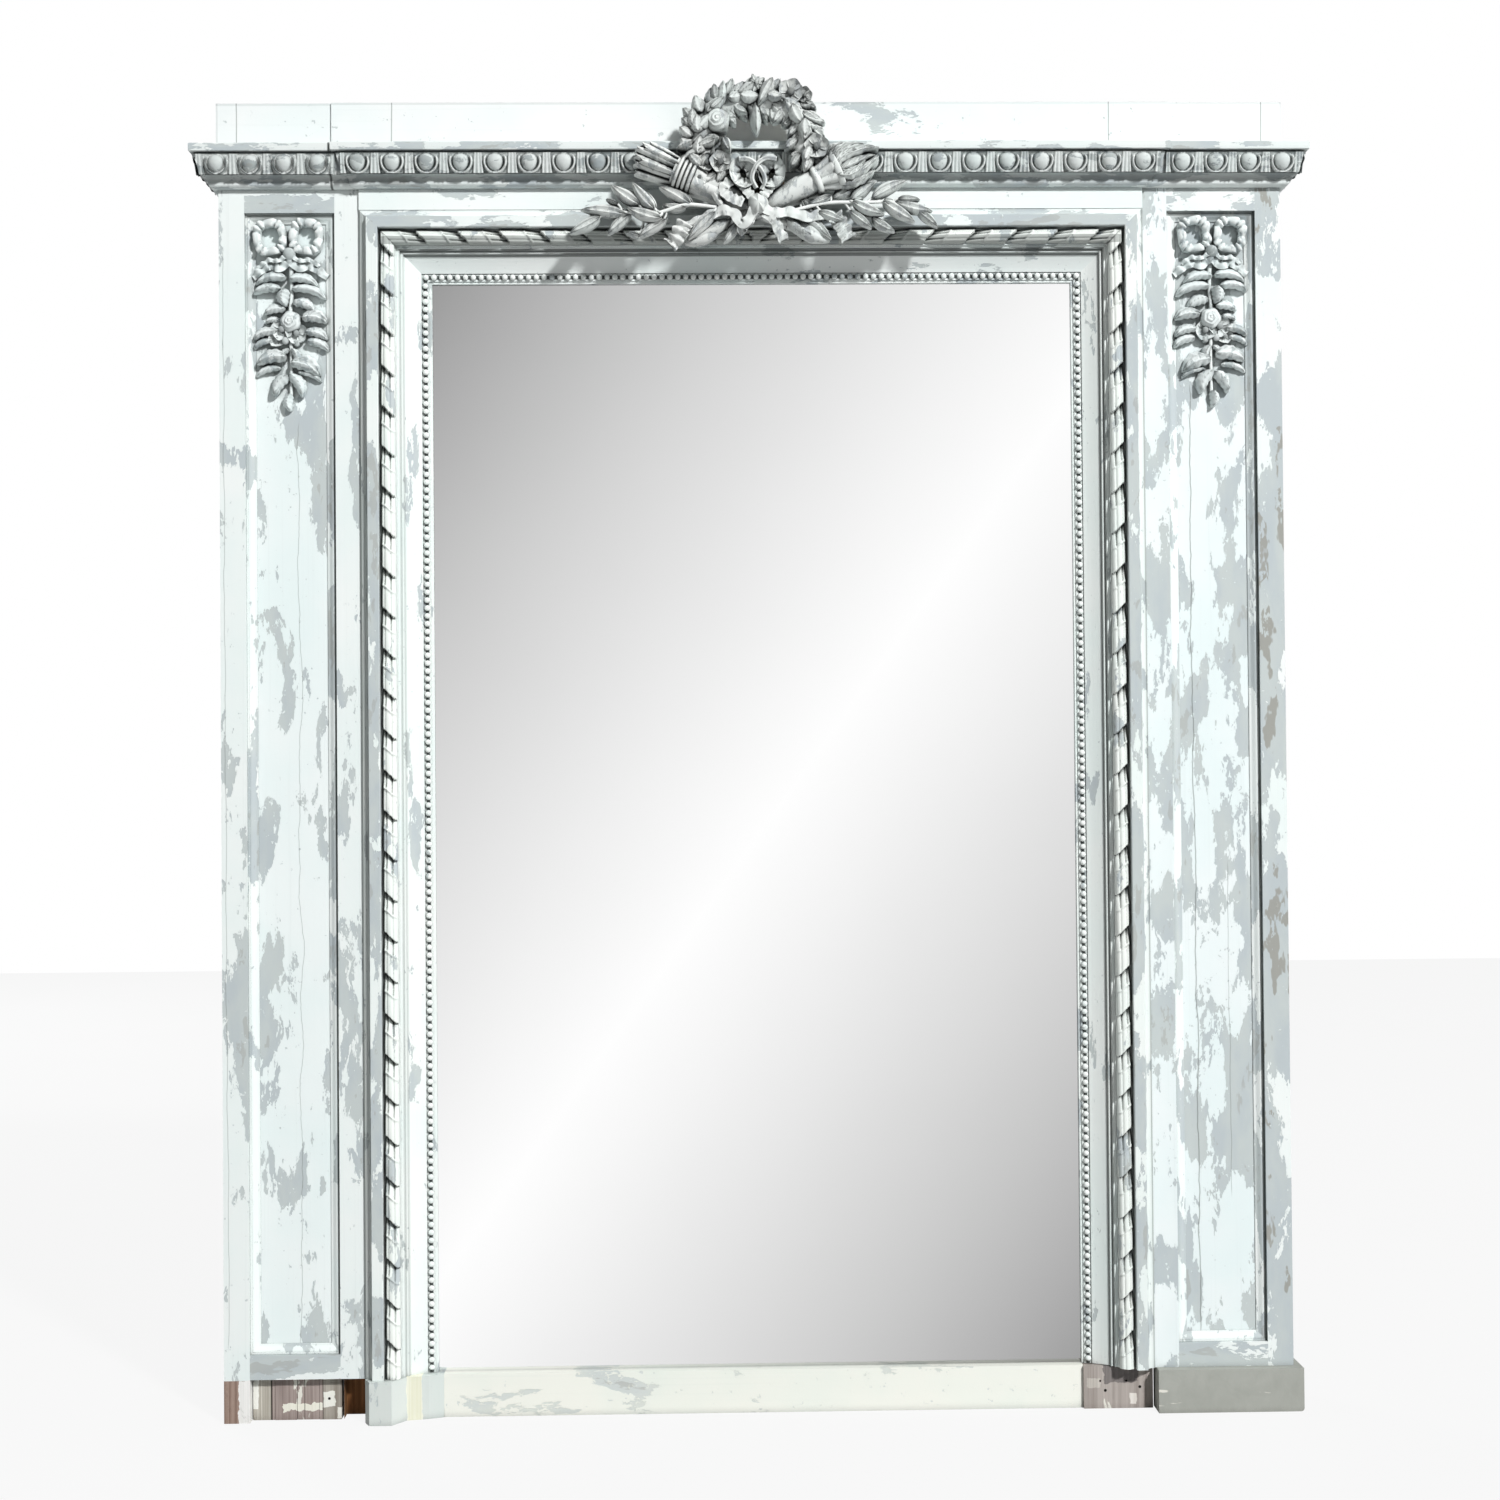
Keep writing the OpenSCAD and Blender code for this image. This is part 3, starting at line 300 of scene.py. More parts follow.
class Graph(Nodes):
    """The node tree of one material, with a Principled shader as its end."""

    def __init__(self, name: str) -> None:
        """Args: name: the material's name."""
        self.material = bpy.data.materials.new(name)
        self.material.use_nodes = True
        super().__init__(self.material.node_tree)
        self.shader = self.node("ShaderNodeBsdfPrincipled")
        self.output = self.node("ShaderNodeOutputMaterial", Surface=self.shader.outputs[0])

    def place(self) -> Vec:
        """Returns: the position in the row frame, in metres."""
        return Vec(self, self.node("ShaderNodeTexCoord").outputs["Object"])

    def noise(self, at: Vec, scale: Number, detail: Number = 3.0, rough: Number = 0.55,
              warp: Number = 0.0) -> Value:
        """Args:
            at: where the noise is read.
            scale: its scale, in cells a unit.
            detail: octaves.
            rough: the share of the fine octaves.
            warp: distortion.

        Returns:
            Noise of about 0.2..0.8, 0.5 in the middle.
        """
        made = self.node("ShaderNodeTexNoise", Vector=at, Scale=scale, Detail=detail, Roughness=rough,
                         Distortion=warp)
        return Value(self, made.outputs[0])

    def random_cells(self, at: Vec, scale: Number) -> Value:
        """Args: at: where the cells are read. scale: cells a unit. Returns: a random 0..1 for each cell."""
        made = self.node("ShaderNodeTexVoronoi", Vector=at, Scale=scale)
        return Vec(self, made.outputs["Color"]).parts()[0]

    def hollow(self, reach: float) -> Value:
        """Args: reach: how far off a surface darkens, in metres. Returns: 0 in the open, 1 in a corner."""
        made = self.node("ShaderNodeAmbientOcclusion", {"samples": CORNER_RAYS}, Distance=reach)
        return 1.0 - Value(self, made.outputs["AO"])

    def edge(self) -> Value:
        """Returns: about 0.5 on the flat, more on sharp ridges, less in creases."""
        return Value(self, self.node("ShaderNodeNewGeometry").outputs["Pointiness"])

    def facing(self) -> tuple[Value, Value, Value]:
        """Returns: how far the surface faces right, to the wall, and up, each -1..1."""
        return Vec(self, self.node("ShaderNodeNewGeometry").outputs["True Normal"]).parts()

    def bump(self, height: Value, distance: float, strength: float) -> None:
        """Bends the shader's normal.

        Args:
            height: the height, 0..1.
            distance: how high 1 is, in metres.
            strength: the share of it that is used.
        """
        made = self.node("ShaderNodeBump", Height=height, Distance=distance, Strength=strength)
        self.feed(self.shader.inputs["Normal"], made.outputs[0])

    def finish(self, **inputs: object) -> bpy.types.Material:
        """Args: inputs: the shader's inputs by name, with underscores for spaces. Returns: the material."""
        for key, value in inputs.items():
            self.feed(self.shader.inputs[key.replace("_", " ")], value)
        return self.material


# Finishes

# Colours that more than one finish shares.
# The white of raised edges: rubbed wear and painted highlight.
RIDGE_WEAR_AND_HIGHLIGHT = srgb(252, 255, 252)
CRACK_SHADE = srgb(96, 100, 98)
# Painted shade in narrow lines along the mouldings.
LINE_SHADE = srgb(64, 70, 68)
BACK_GRAIN = srgb(118, 90, 62)
BACK_WOOD = srgb(172, 140, 102)
OLD_PAINT = srgb(236, 234, 224)
NAIL_HOLE = srgb(30, 28, 26)
# Painted shade and dirt in the corners of bare wood.
WOOD_SHADE_AND_DIRT = srgb(46, 38, 32)

# The flake pattern's height over which the white is gone with no loss, how much lower that is at a
# loss of 1, and half the width of a flake's edge in that height.
FLAKE_LEVEL = 0.62
FLAKE_RANGE = 0.24
FLAKE_EDGE = 0.005


class Grain(Enum):
    """Which way a board's grain and the brush marks run: how fine the pattern is on x, y and z."""

    UP = (42.0, 42.0, 6.0)
    ALONG = (6.0, 42.0, 42.0)

    def scale(self, across: float, along: float) -> Point:
        """Args: across: factor across the grain. along: factor along it. Returns: the scale on x, y and z."""
        return tuple(fine * (along if fine == min(self.value) else across) for fine in self.value)


@dataclass(frozen=True)
class Crack:
    """A hairline that runs up a board.

    Attributes:
        x: where it is, in metres.
        low: the height of its lower end.
        top: the height of its upper end.
        stray: how far it wanders, in metres.
        width: how wide it is, in metres.
        dark: how dark it is, 0..1.
    """

    x: float
    low: float
    top: float
    stray: float
    width: float
    dark: float

    def mask(self, g: Graph) -> Value:
        """Args: g: the graph it is drawn in. Returns: how dark the point is, 0..1."""
        fade = 0.02
        x, _, z = g.place().parts()
        height = g.place() * (0.0, 0.0, 1.0) + (self.x, 0.0, 0.0)
        stray = (g.noise(height, 7, 4) - 0.5) * (self.stray * 5)
        near = abs(x - self.x - stray).step(self.width, self.width * 0.3)
        return near * z.step(self.low, self.low + fade) * z.step(self.top, self.top - fade) * self.dark


@dataclass(frozen=True)
class Board:
    """A place on a run of boards that has another colour.

    Attributes:
        x: where it starts and ends, in millimetres.
        z: its lower and upper end.
        light: the pale colour of its grain.
        dark: the dark colour of its grain.
        ragged: how uneven its edges are, in millimetres.
    """

    x: Spot
    z: Spot
    light: Point
    dark: Point
    ragged: float = 0.0

    @staticmethod
    def between(at: Value, ends: Spot) -> Value:
        """Args:
            at: a coordinate, in metres.
            ends: two places on it, in millimetres.

        Returns:
            1 between the two and 0 beyond them.
        """
        low, top = ends[0] * MM, ends[1] * MM
        edge = 0.3 * MM
        return at.step(low - edge, low + edge) * at.step(top + edge, top - edge)

    def over(self, g: Graph, colour: Vec, fibre: Value) -> Vec:
        """Args:
            g: the graph it is drawn in.
            colour: the colour beside it.
            fibre: the grain, 0..1.

        Returns:
            The colour with the board in it.
        """
        x, _, z = g.place().parts()
        if self.ragged:
            x = x + (g.noise(g.place(), 90, 3) - 0.5) * (self.ragged * MM)
            z = z + (g.noise(g.place(), 70, 3) - 0.5) * (self.ragged * MM)
        inside = self.between(x, self.x) * self.between(z, self.z)
        return colour.mixed(Vec(g, self.dark).mixed(self.light, fibre), inside)


@dataclass(frozen=True)
class ShadeLine:
    """Painted shade in a narrow place along a moulding, where a shadow falls.

    Attributes:
        at: how far from the middle it runs, or how high, in millimetres.
        half: half its width.
        dark: how dark it is on the left, and on the right, 0..1.
        upright: whether it runs up the moulding.
    """

    at: float
    half: float
    dark: Spot
    upright: bool = True

    def mask(self, g: Graph) -> Value:
        """Args: g: the graph it is drawn in. Returns: how dark the point is, 0..1."""
        soft = 0.4
        x, _, z = g.place().parts()
        away = abs((abs(x) if self.upright else z) - self.at * MM)
        near = away.step((self.half + soft) * MM, (self.half - soft) * MM)
        return near * (self.dark[0] + x.step(-0.01, 0.01) * (self.dark[1] - self.dark[0]))


@dataclass(frozen=True)
class Paint:
    """White paint, flaked off a grey ground; faces that look to the wall are bare wood.

    Attributes:
        name: the material's name.
        grain: the way the flakes run.
        white: the top coat.
        grey: the coat under it.
        bare: what shows where both are gone.
        loss: how much of the white is gone, about 0..1.
        streak: how strong the long brush marks are.
        shade_and_dirt: how dark the corners are: painted shade together with dirt.
        lines: seed of the pattern.
        rub: how much of the bare ground shows, 0..1.
        ridge: how much the raised edges of carving are lightened to white, as rubbed wear and painted
            highlight, and the creases darkened as painted shade.
        size: how many times smaller than on the boards the flakes are.
        reach: how far a surface darkens its neighbour's corner, in metres.
        deep: the colour of the painted shade and dirt in the corners and creases.
        corner: how closed a corner is where the painted shade and dirt start and where they are full, 0..1.
        proud: how far from the wall the worn parts start, in metres, and how much more white is gone there.
        cracks: its hairlines.
        shade_lines: its lines of painted shade.
        boards: its places of another colour.
        less_shade_left: how much less painted shade and dirt the corners of faces that look to the left get,
            0..1.
    """

    name: str
    grain: Grain = Grain.UP
    white: Point = srgb(248, 253, 251)
    grey: Point = srgb(203, 211, 210)
    bare: Point = srgb(158, 156, 148)
    loss: float = 0.4
    streak: float = 0.2
    shade_and_dirt: float = 0.7
    lines: float = 0.0
    rub: float = 0.35
    ridge: float = 0.0
    size: float = 1.0
    reach: float = 0.02
    deep: Point = srgb(84, 90, 88)
    corner: Spot = (0.25, 0.85)
    proud: Optional[Spot] = None
    cracks: tuple[Crack, ...] = ()
    shade_lines: tuple[ShadeLine, ...] = ()
    boards: tuple[Board, ...] = ()
    less_shade_left: float = 0.0

    def flaked(self, g: Graph, run: Vec) -> Value:
        """Args:
            g: the graph it is drawn in.
            run: where the flakes are read, stretched along the grain.

        Returns:
            How far the flake pattern stands over the level at which the white is gone.
        """
        bent = run + (g.noise(run, 2.2, 3) * 0.8).everywhere()
        large = (g.random_cells(bent, 2.3) - 0.5) * 0.05
        small = (g.random_cells(bent, 6.5) - 0.5) * 0.03
        level = Value(g, FLAKE_LEVEL - FLAKE_RANGE * self.loss)
        if self.proud:
            start, more = self.proud
            _, y, _ = g.place().parts()
            level = level - y.step(WALL - start, WALL - start - 0.003) * (FLAKE_RANGE * more)
        return g.noise(run, 0.40, 8, 0.56, 0.3) + large + small - level

    def coats(self, g: Graph, at: Vec, run: Vec, lost: Value) -> Vec:
        """Args:
            g: the graph it is drawn in.
            at: where the clouds of colour are read.
            run: the same, stretched along the grain.
            lost: where the white is gone, 0..1.

        Returns:
            The two coats of paint, each a little clouded.
        """
        yellowed = tuple(part * share for part, share in zip(self.white, (0.93, 0.975, 0.975)))
        dulled = tuple(part * share for part, share in zip(self.grey, (0.91, 0.925, 0.965)))
        white = Vec(g, self.white).mixed(yellowed, g.noise(at, 5.2, 3).step(0.35, 0.7))
        grey = Vec(g, self.grey).mixed(dulled, g.noise(run, 0.6, 4).step(0.38, 0.64))
        return white.mixed(grey, lost)

    def shaded_and_soiled(self, g: Graph, colour: Vec, streaks: Value) -> Vec:
        """Args:
            g: the graph it is drawn in.
            colour: the clean colour.
            streaks: the long brush marks.

        Returns:
            The colour with a bare back, painted shade and dirt in the corners, raised edges lightened as wear
            and painted highlight, and creases darkened as painted shade.
        """
        hollow = g.hollow(self.reach)
        across, behind, _ = g.facing()
        # Faces that look to the left get less painted shade and dirt in their corners.
        if self.less_shade_left:
            hollow = hollow * (1.0 - across.step(-0.35, -0.6) * self.less_shade_left)
        bare = Vec(g, BACK_GRAIN).mixed(BACK_WOOD, streaks.step(0.35, 0.65))
        colour = colour.mixed(bare, behind.step(0.6, 0.8))
        # Painted shade together with dirt: the more closed a corner is, the darker it is painted.
        colour = colour.mixed(self.deep, hollow.step(*self.corner) * self.shade_and_dirt)
        if self.ridge:
            edge = g.edge()
            # Painted highlight and wear: raised edges are lightened to white; creases are darkened as painted
            # shade.
            colour = colour.mixed(RIDGE_WEAR_AND_HIGHLIGHT, edge.step(0.507, 0.565) * (1.0 - hollow) * self.ridge)
            colour = colour.mixed(self.deep, edge.step(0.490, 0.425) * self.ridge * 0.8)
        return colour

    def build(self) -> bpy.types.Material:
        """Returns: the material."""
        g = Graph(self.name)
        at = g.place() + (self.lines, self.lines * 0.37, self.lines * 0.71)
        run = at * self.grain.scale(self.size, 2.5 * self.size)
        over = self.flaked(g, run)
        chips = g.noise(at, 95 * self.size, 4, 0.65).step(0.66, 0.675) * 0.8
        lost = abs(over.step(-FLAKE_EDGE, FLAKE_EDGE) - chips * g.noise(run, 1.0, 2).step(0.45, 0.55))
        streaks = g.noise(at * self.grain.scale(9.0, 0.6), 0.6, 3)
        colour = self.coats(g, at, run, lost)
        colour = colour.mixed(self.grey, streaks.step(0.56, 0.74) * self.streak * 0.55)
        worn = over.step(0.075, 0.085) * g.noise(run, 0.9, 3).step(0.55, 0.58)
        colour = colour.mixed(self.bare, worn * self.rub)
        colour = self.shaded_and_soiled(g, colour, streaks)
        for board in self.boards:
            colour = board.over(g, colour, streaks.step(0.35, 0.65))
        for crack in self.cracks:
            colour = colour.mixed(CRACK_SHADE, crack.mask(g))
        # Painted shade: dark lines where shadows fall along the mouldings.
        for line in self.shade_lines:
            colour = colour.mixed(LINE_SHADE, line.mask(g))
        brushed = (1.0 - lost) * 0.7 + g.noise(at, 260, 3, 0.6) * 0.2 + streaks * 0.1
        g.bump(brushed, 0.0006, 0.7)
        return g.finish(Base_Color=colour, Roughness=0.55 + 0.25 * lost, Specular_IOR_Level=0.3)


@dataclass(frozen=True)
class BareWood:
    """Old bare board with scraps of paint.

    Attributes:
        name: the material's name.
        light: the pale colour of the grain.
        dark: the dark colour of the grain.
        scraps: how much paint is left, 0..1.
        grain: how fine the grain is on x, y and z.
        lines: seed of the pattern.
        boards: its places of another colour.
        holes: its nail holes: x, z and radius in millimetres.
    """

    name: str
    light: Point
    dark: Point
    scraps: float = 0.0
    grain: Grain = Grain.UP
    lines: float = 0.0
    boards: tuple[Board, ...] = ()
    holes: tuple[Point, ...] = ()

    def build(self) -> bpy.types.Material:
        """Returns: the material."""
        g = Graph(self.name)
        at = g.place() + (self.lines, self.lines * 0.3, self.lines * 0.6)
        sx, sy, sz = self.grain.value
        fibre = g.noise(at * (sx * 8, sy * 8, sz * 0.9), 0.7, 4, 0.65, 0.4)
        broad = g.noise(at * (sx, sy, sz * 0.5), 0.5, 3)
        colour = Vec(g, self.dark).mixed(self.light, (fibre * 0.6 + broad * 0.4).step(0.32, 0.68))
        if self.scraps:
            level = 0.66 - self.scraps * 0.2
            scraps = g.noise(at * (sx, sy, sz * 2), 1.1, 4, 0.6, 0.5).step(level, level + 0.02)
            colour = colour.mixed(OLD_PAINT, scraps)
        for board in self.boards:
            colour = board.over(g, colour, fibre.step(0.35, 0.65))
        x, _, z = g.place().parts()
        for hole_x, hole_z, radius in self.holes:
            right, up = x - hole_x * MM, z - hole_z * MM
            inside = (right * right + up * up).step((radius * 1.15 * MM) ** 2, (radius * 0.8 * MM) ** 2)
            colour = colour.mixed(NAIL_HOLE, inside)
        # Painted shade and dirt: corners are darkened by how closed they are.
        colour = colour.mixed(WOOD_SHADE_AND_DIRT, g.hollow(0.02).step(0.3, 1.0) * 0.75)
        g.bump(fibre, 0.0008, 0.5)
        return g.finish(Base_Color=colour, Roughness=0.78, Specular_IOR_Level=0.2)


@dataclass(frozen=True)
class MirrorGlass:
    """Silvered glass whose colour carries a painted reflection: a soft diagonal band of light.

    Attributes:
        name: the material's name.
        middle: a point on the bright line, in the row frame: x and z in metres.
        across: the direction square to the bright line, x and z.
        fall: how fast the light falls off with the distance in metres, and with its square.
        haze: how strong the cloudiness is.
    """

    name: str = "mirror_glass"
    middle: Spot = (0.005, 0.84)
    across: Spot = (0.809, -0.588)
    fall: Spot = (0.62, 0.18)
    haze: float = 0.012

    def build(self) -> bpy.types.Material:
        """Returns: the material."""
        g = Graph(self.name)
        x, _, z = g.place().parts()
        # Painted reflection: brightest along a diagonal line and darker away from it.
        away = abs((x - self.middle[0]) * self.across[0] + (z - self.middle[1]) * self.across[1])
        tone = 1.0 - away * self.fall[0] - away * away * self.fall[1]
        tone = (tone - g.noise(g.place(), 3.0, 4).step(0.3, 0.8) * self.haze).clamped()
        return g.finish(Base_Color=tone.everywhere(), Metallic=1.0, Roughness=0.06)


@dataclass(frozen=True)
class Metal:
    """Plain metal with a dull bloom.

    Attributes:
        name: the material's name.
        colour: its colour.
        rough: its roughness.
    """

    name: str
    colour: Point
    rough: float = 0.45

    def build(self) -> bpy.types.Material:
        """Returns: the material."""
        g = Graph(self.name)
        bloom = g.noise(g.place(), 160, 4)
        colour = Vec(g, self.colour).mixed(tuple(c * 0.55 for c in self.colour), bloom.step(0.4, 0.75))
        g.bump(bloom, 0.0002, 0.4)
        return g.finish(Base_Color=colour, Metallic=0.9, Roughness=self.rough + 0.2 * bloom)


# Meshes


def turned(degrees: float, x: float, y: float) -> Spot:
    """Args: degrees: how far, to the left. x: a point's x. y: its y. Returns: the point turned."""
    turn = math.radians(degrees)
    return x * math.cos(turn) - y * math.sin(turn), x * math.sin(turn) + y * math.cos(turn)


def heading(start: Spot, end: Spot) -> Point:
    """Args: start: a point. end: another. Returns: how far apart they are, and the unit vector's x and y."""
    length = math.hypot(end[0] - start[0], end[1] - start[1])
    return length, (end[0] - start[0]) / length, (end[1] - start[1]) / length


def smooth_noise(x: float, y: float, z: float) -> float:
    """Args: x, y, z: where it is read. Returns: noise of about -1..1."""
    return noise.noise(Vector((x, y, z)))


class Shape:
    """A mesh in the making, in row-frame metres."""

    def __init__(self, name: str) -> None:
        """Args: name: the object's name."""
        self.name = name
        self.points: list[Vector] = []
        self.faces: list[tuple[int, ...]] = []

    def grid(self, rows: Sequence[Sequence[Vector]], wrap: bool = False, close: bool = False) -> None:
        """Adds a surface through rows of points.

        Args:
            rows: equal-length rows.
            wrap: whether each row closes on itself.
            close: whether the first and last rows are capped.
        """
        first = len(self.points)
        wide = len(rows[0])
        for row in rows:
            self.points.extend(row)
        for i in range(len(rows) - 1):
            for j in range(wide if wrap else wide - 1):
                a, b = first + i * wide + j, first + i * wide + (j + 1) % wide
                self.faces.append((a, b, b + wide, a + wide))
        if close:
            last = first + (len(rows) - 1) * wide
            self.faces.append(tuple(first + j for j in reversed(range(wide))))
            self.faces.append(tuple(last + j for j in range(wide)))

    def slab(self, rows: Sequence[Sequence[Vector]], deep: float) -> None:
        """Adds a surface with a skirt back to the wall.

        Args:
            rows: equal-length rows of the surface.
            deep: how far back the skirt reaches, in millimetres.
        """
        self.grid(rows)
        right, left = [row[-1] for row in rows[1:]], [row[0] for row in reversed(rows[1:-1])]
        rim = list(rows[0]) + right + list(reversed(rows[-1][:-1])) + left
        self.grid([rim, [p + Vector((0, deep * MM, 0)) for p in rim]], wrap=True)

    def ball(self, centre: Vector, radii: Vector, rings: int, sides: int) -> None:
        """Adds an ellipsoid.

        Args:
            centre: its middle.
            radii: its three radii.
            rings: rows from pole to pole.
            sides: points a row.
        """
        rows = []
        for i in range(rings + 1):
            a = math.pi * (0.02 + 0.96 * i / rings)
            wide, deep, level = radii.x * math.sin(a), radii.y * math.sin(a), radii.z * math.cos(a)
            turns = [2 * math.pi * j / sides for j in range(sides)]
            rows.append([centre + Vector((wide * math.cos(b), deep * math.sin(b), level)) for b in turns])
        self.grid(rows, wrap=True, close=True)

    def build(self, material: bpy.types.Material, nodes: Iterable[str] = (),
              smooth: bool = True) -> bpy.types.Object:
        """Makes the object, has it ride on the frame and stand for CAD nodes.

        Args:
            material: its material.
            nodes: the CAD nodes it stands for.
            smooth: whether it is shaded smooth.

        Returns:
            The object.
        """
        mesh = bpy.data.meshes.new(self.name)
        mesh.from_pydata([tuple(p) for p in self.points], [], self.faces)
        mesh.validate()
        mesh.update()
        made = bpy.data.objects.new(self.name, mesh)
        bpy.context.scene.collection.objects.link(made)
        mesh.materials.append(material)
        if smooth:
            mesh.polygons.foreach_set("use_smooth", [True] * len(mesh.polygons))
        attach(made, "root")
        if nodes:
            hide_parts(*nodes)
        LOG.info("%s: %d faces", self.name, len(self.faces))
        return made


@dataclass(frozen=True)
class Carving:
    """A flat space that carving is laid out in: x and y in millimetres on the wall's plane, z forward.

    Attributes:
        x: the origin's x in the row frame, in millimetres.
        z: the origin's z, in millimetres.
        y: the ground's y in the row frame, in metres.
    """

    x: float
    z: float
    y: float

    def at(self, x: float, y: float, h: float) -> Vector:
        """Args:
            x: to the right, in millimetres.
            y: up.
            h: forward of the ground.

        Returns:
            The point in the row frame.
        """
        return Vector(((self.x + x) * MM, self.y - h * MM, (self.z + y) * MM))


class Carver:
    """Carves leaves, flowers and ribbons into a shape, in the millimetres of a carving's space."""

    PETALS = 5

    def __init__(self, shape: Shape, space: Carving, seed: int) -> None:
        """Args:
            shape: the mesh that is added to.
            space: where it is laid out.
            seed: seed of the small differences.
        """
        self.shape = shape
        self.space = space
        self.random = random.Random(seed)

    def sheet(self, along: int, across: int, point: Callable[[float, float], Point]) -> list[list[Vector]]:
        """Args:
            along: pieces along it.
            across: pieces across it.
            point: x, y and height at a share along it, 0..1, and a place across it, -1..1.

        Returns:
            Rows of points.
        """
        return [[self.space.at(*point(j / along, i / across * 2 - 1)) for i in range(across + 1)]
                for j in range(along + 1)]

    @staticmethod
    def curve(path: Path, steps: int) -> list[Point]:
        """Args:
            path: the points a smooth curve runs through.
            steps: points a piece.

        Returns:
            The curve's points.
        """
        ends = [path[0]] + list(path) + [path[-1]]
        out = []
        for i in range(1, len(ends) - 2):
            p0, p1, p2, p3 = (Vector(p) for p in ends[i - 1:i + 3])
            for k in range(steps):
                t = k / steps
                p = 0.5 * ((2 * p1) + (p2 - p0) * t + (2 * p0 - 5 * p1 + 4 * p2 - p3) * t * t
                           + (3 * p1 - p0 - 3 * p2 + p3) * t ** 3)
                out.append(tuple(p))
        out.append(tuple(path[-1]))
        return out

    @staticmethod
    def square_to(fine: Path) -> list[Spot]:
        """Args: fine: the points of a path. Returns: at each point, the unit vector to the path's left."""
        found = []
        for i in range(len(fine)):
            x0, y0, _ = fine[max(i - 1, 0)]
            x1, y1, _ = fine[min(i + 1, len(fine) - 1)]
            length = math.hypot(x1 - x0, y1 - y0) or 1.0
            found.append((-(y1 - y0) / length, (x1 - x0) / length))
        return found

    def leaf(self, base: Spot, tip: Spot, width: float, thick: float, lift: float, tip_lift: float,
             groove: float = 0.5, veins: float = 0.0, bend: float = 0.0, notch: float = 0.0,
             fill: float = 0.0, blunt: float = 0.75, tilt: float = 0.0) -> None:
        """Adds a leaf.

        Args:
            base: its stalk end.
            tip: its tip.
            width: its width at the widest.
            thick: how high its lobes stand.
            lift: how high its base stands off the ground.
            tip_lift: how high its tip stands.
            groove: depth of the groove along it, as a share of thick; below 0 it is a ridge.
            veins: depth of the side veins, as a share of thick.
            bend: sideways bend, as a share of its length.
            notch: depth of the lobes of its outline, as a share of the width.
            fill: how far its sides run back, in millimetres; 0 takes them nearly to the ground.
            blunt: how pointed its ends are: 0.75 is pointed, 0.4 is round.
            tilt: how far its lower edge stands forward and its upper edge back, in millimetres.
        """
        length, ux, uy = heading(base, tip)
        phase = self.random.uniform(0, 6)

        def point(v: float, u: float) -> Point:
            """Args: v: 0..1 along the leaf. u: -1..1 across it. Returns: x, y and height."""
            half = width / 2 * (math.sin(math.pi * v ** 0.85) ** blunt) * (1 - 0.25 * v) + 0.4
            half *= 1 + notch * math.sin(v * 26 + phase)
            ends = min(1, 2.6 * math.sin(math.pi * min(v + 0.04, 1)) ** 0.8 + 0.15)
            high = thick * (0.25 + 0.75 * (1 - abs(u) ** 2.4) * ends)
            high -= thick * groove * math.exp(-(u / 0.2) ** 2) * (1 - 0.5 * v)
            high += thick * veins * math.sin((v * 7 - abs(u) * 1.1) * math.pi * 1.6) * (1 - abs(u))
            high -= tilt * u * ux * math.sin(math.pi * min(1, v + 0.1))
            side = u * half + bend * length * math.sin(math.pi * v)
            return (base[0] + ux * v * length - uy * side, base[1] + uy * v * length + ux * side,
                    lift + (tip_lift - lift) * v + high)

        self.shape.slab(self.sheet(16, 10, point), (fill or min(lift, tip_lift) + thick * 0.4) * 0.9)

    def bar(self, path: Path, radius: Callable[[float], float], sides: int = 12, flat: float = 1.0) -> None:
        """Adds a round bar along a path.

        Args:
            path: points x, y and height.
            radius: the radius in millimetres at 0..1 along it.
            sides: points round it.
            flat: its height as a share of its width.
        """
        fine = self.curve(path, 6)
        rows = []
        for i, ((x, y, h), (nx, ny)) in enumerate(zip(fine, self.square_to(fine))):
            r = radius(i / (len(fine) - 1))
            turns = [2 * math.pi * k / sides for k in range(sides)]
            rows.append([self.space.at(x + nx * r * math.cos(a), y + ny * r * math.cos(a),
                                       h + r * flat * math.sin(a)) for a in turns])
        self.shape.grid(rows, wrap=True, close=True)

    def ribbon(self, path: Path, width: float, pleats: float = 0.0, depth: float = 2.0, fork: bool = False,
               taper: float = 1.0, thick: float = 2.2) -> None:
        """Adds a ribbon that lies along a path.

        Args:
            path: points x, y and height of its middle line.
            width: its width.
            pleats: pleats a hundred millimetres.
            depth: how deep they are.
            fork: whether it ends in two points.
            taper: its width at the end as a share of that at the start.
            thick: its thickness.
        """
        fine = self.curve(path, 10)
        wide = 8
        run = 0.0
        rows = []
        for i, ((x, y, h), (nx, ny)) in enumerate(zip(fine, self.square_to(fine))):
            if i:
                run += math.hypot(x - fine[i - 1][0], y - fine[i - 1][1])
            half = width / 2 * (1 + (taper - 1) * i / (len(fine) - 1))
            ends = fork and i == len(fine) - 1
            row = []
            for j in range(wide + 1):
                u = j / wide * 2 - 1
                wave = math.sin(run * pleats * 2 * math.pi / 100 + 0.6 * u)
                swell = 1.1 * math.cos(u * math.pi) * (0.3 if pleats else 1)
                ridge = depth * wave * (0.35 + 0.65 * abs(u)) + swell
                side = u * half * (1 + 0.12 * wave * (pleats > 0))
                back = -0.9 * half * (1 - abs(u)) if ends else 0.0
                row.append(self.space.at(x + nx * side + ny * back, y + ny * side - nx * back, h + ridge))
            rows.append(row)
        self.shape.slab(rows, thick)

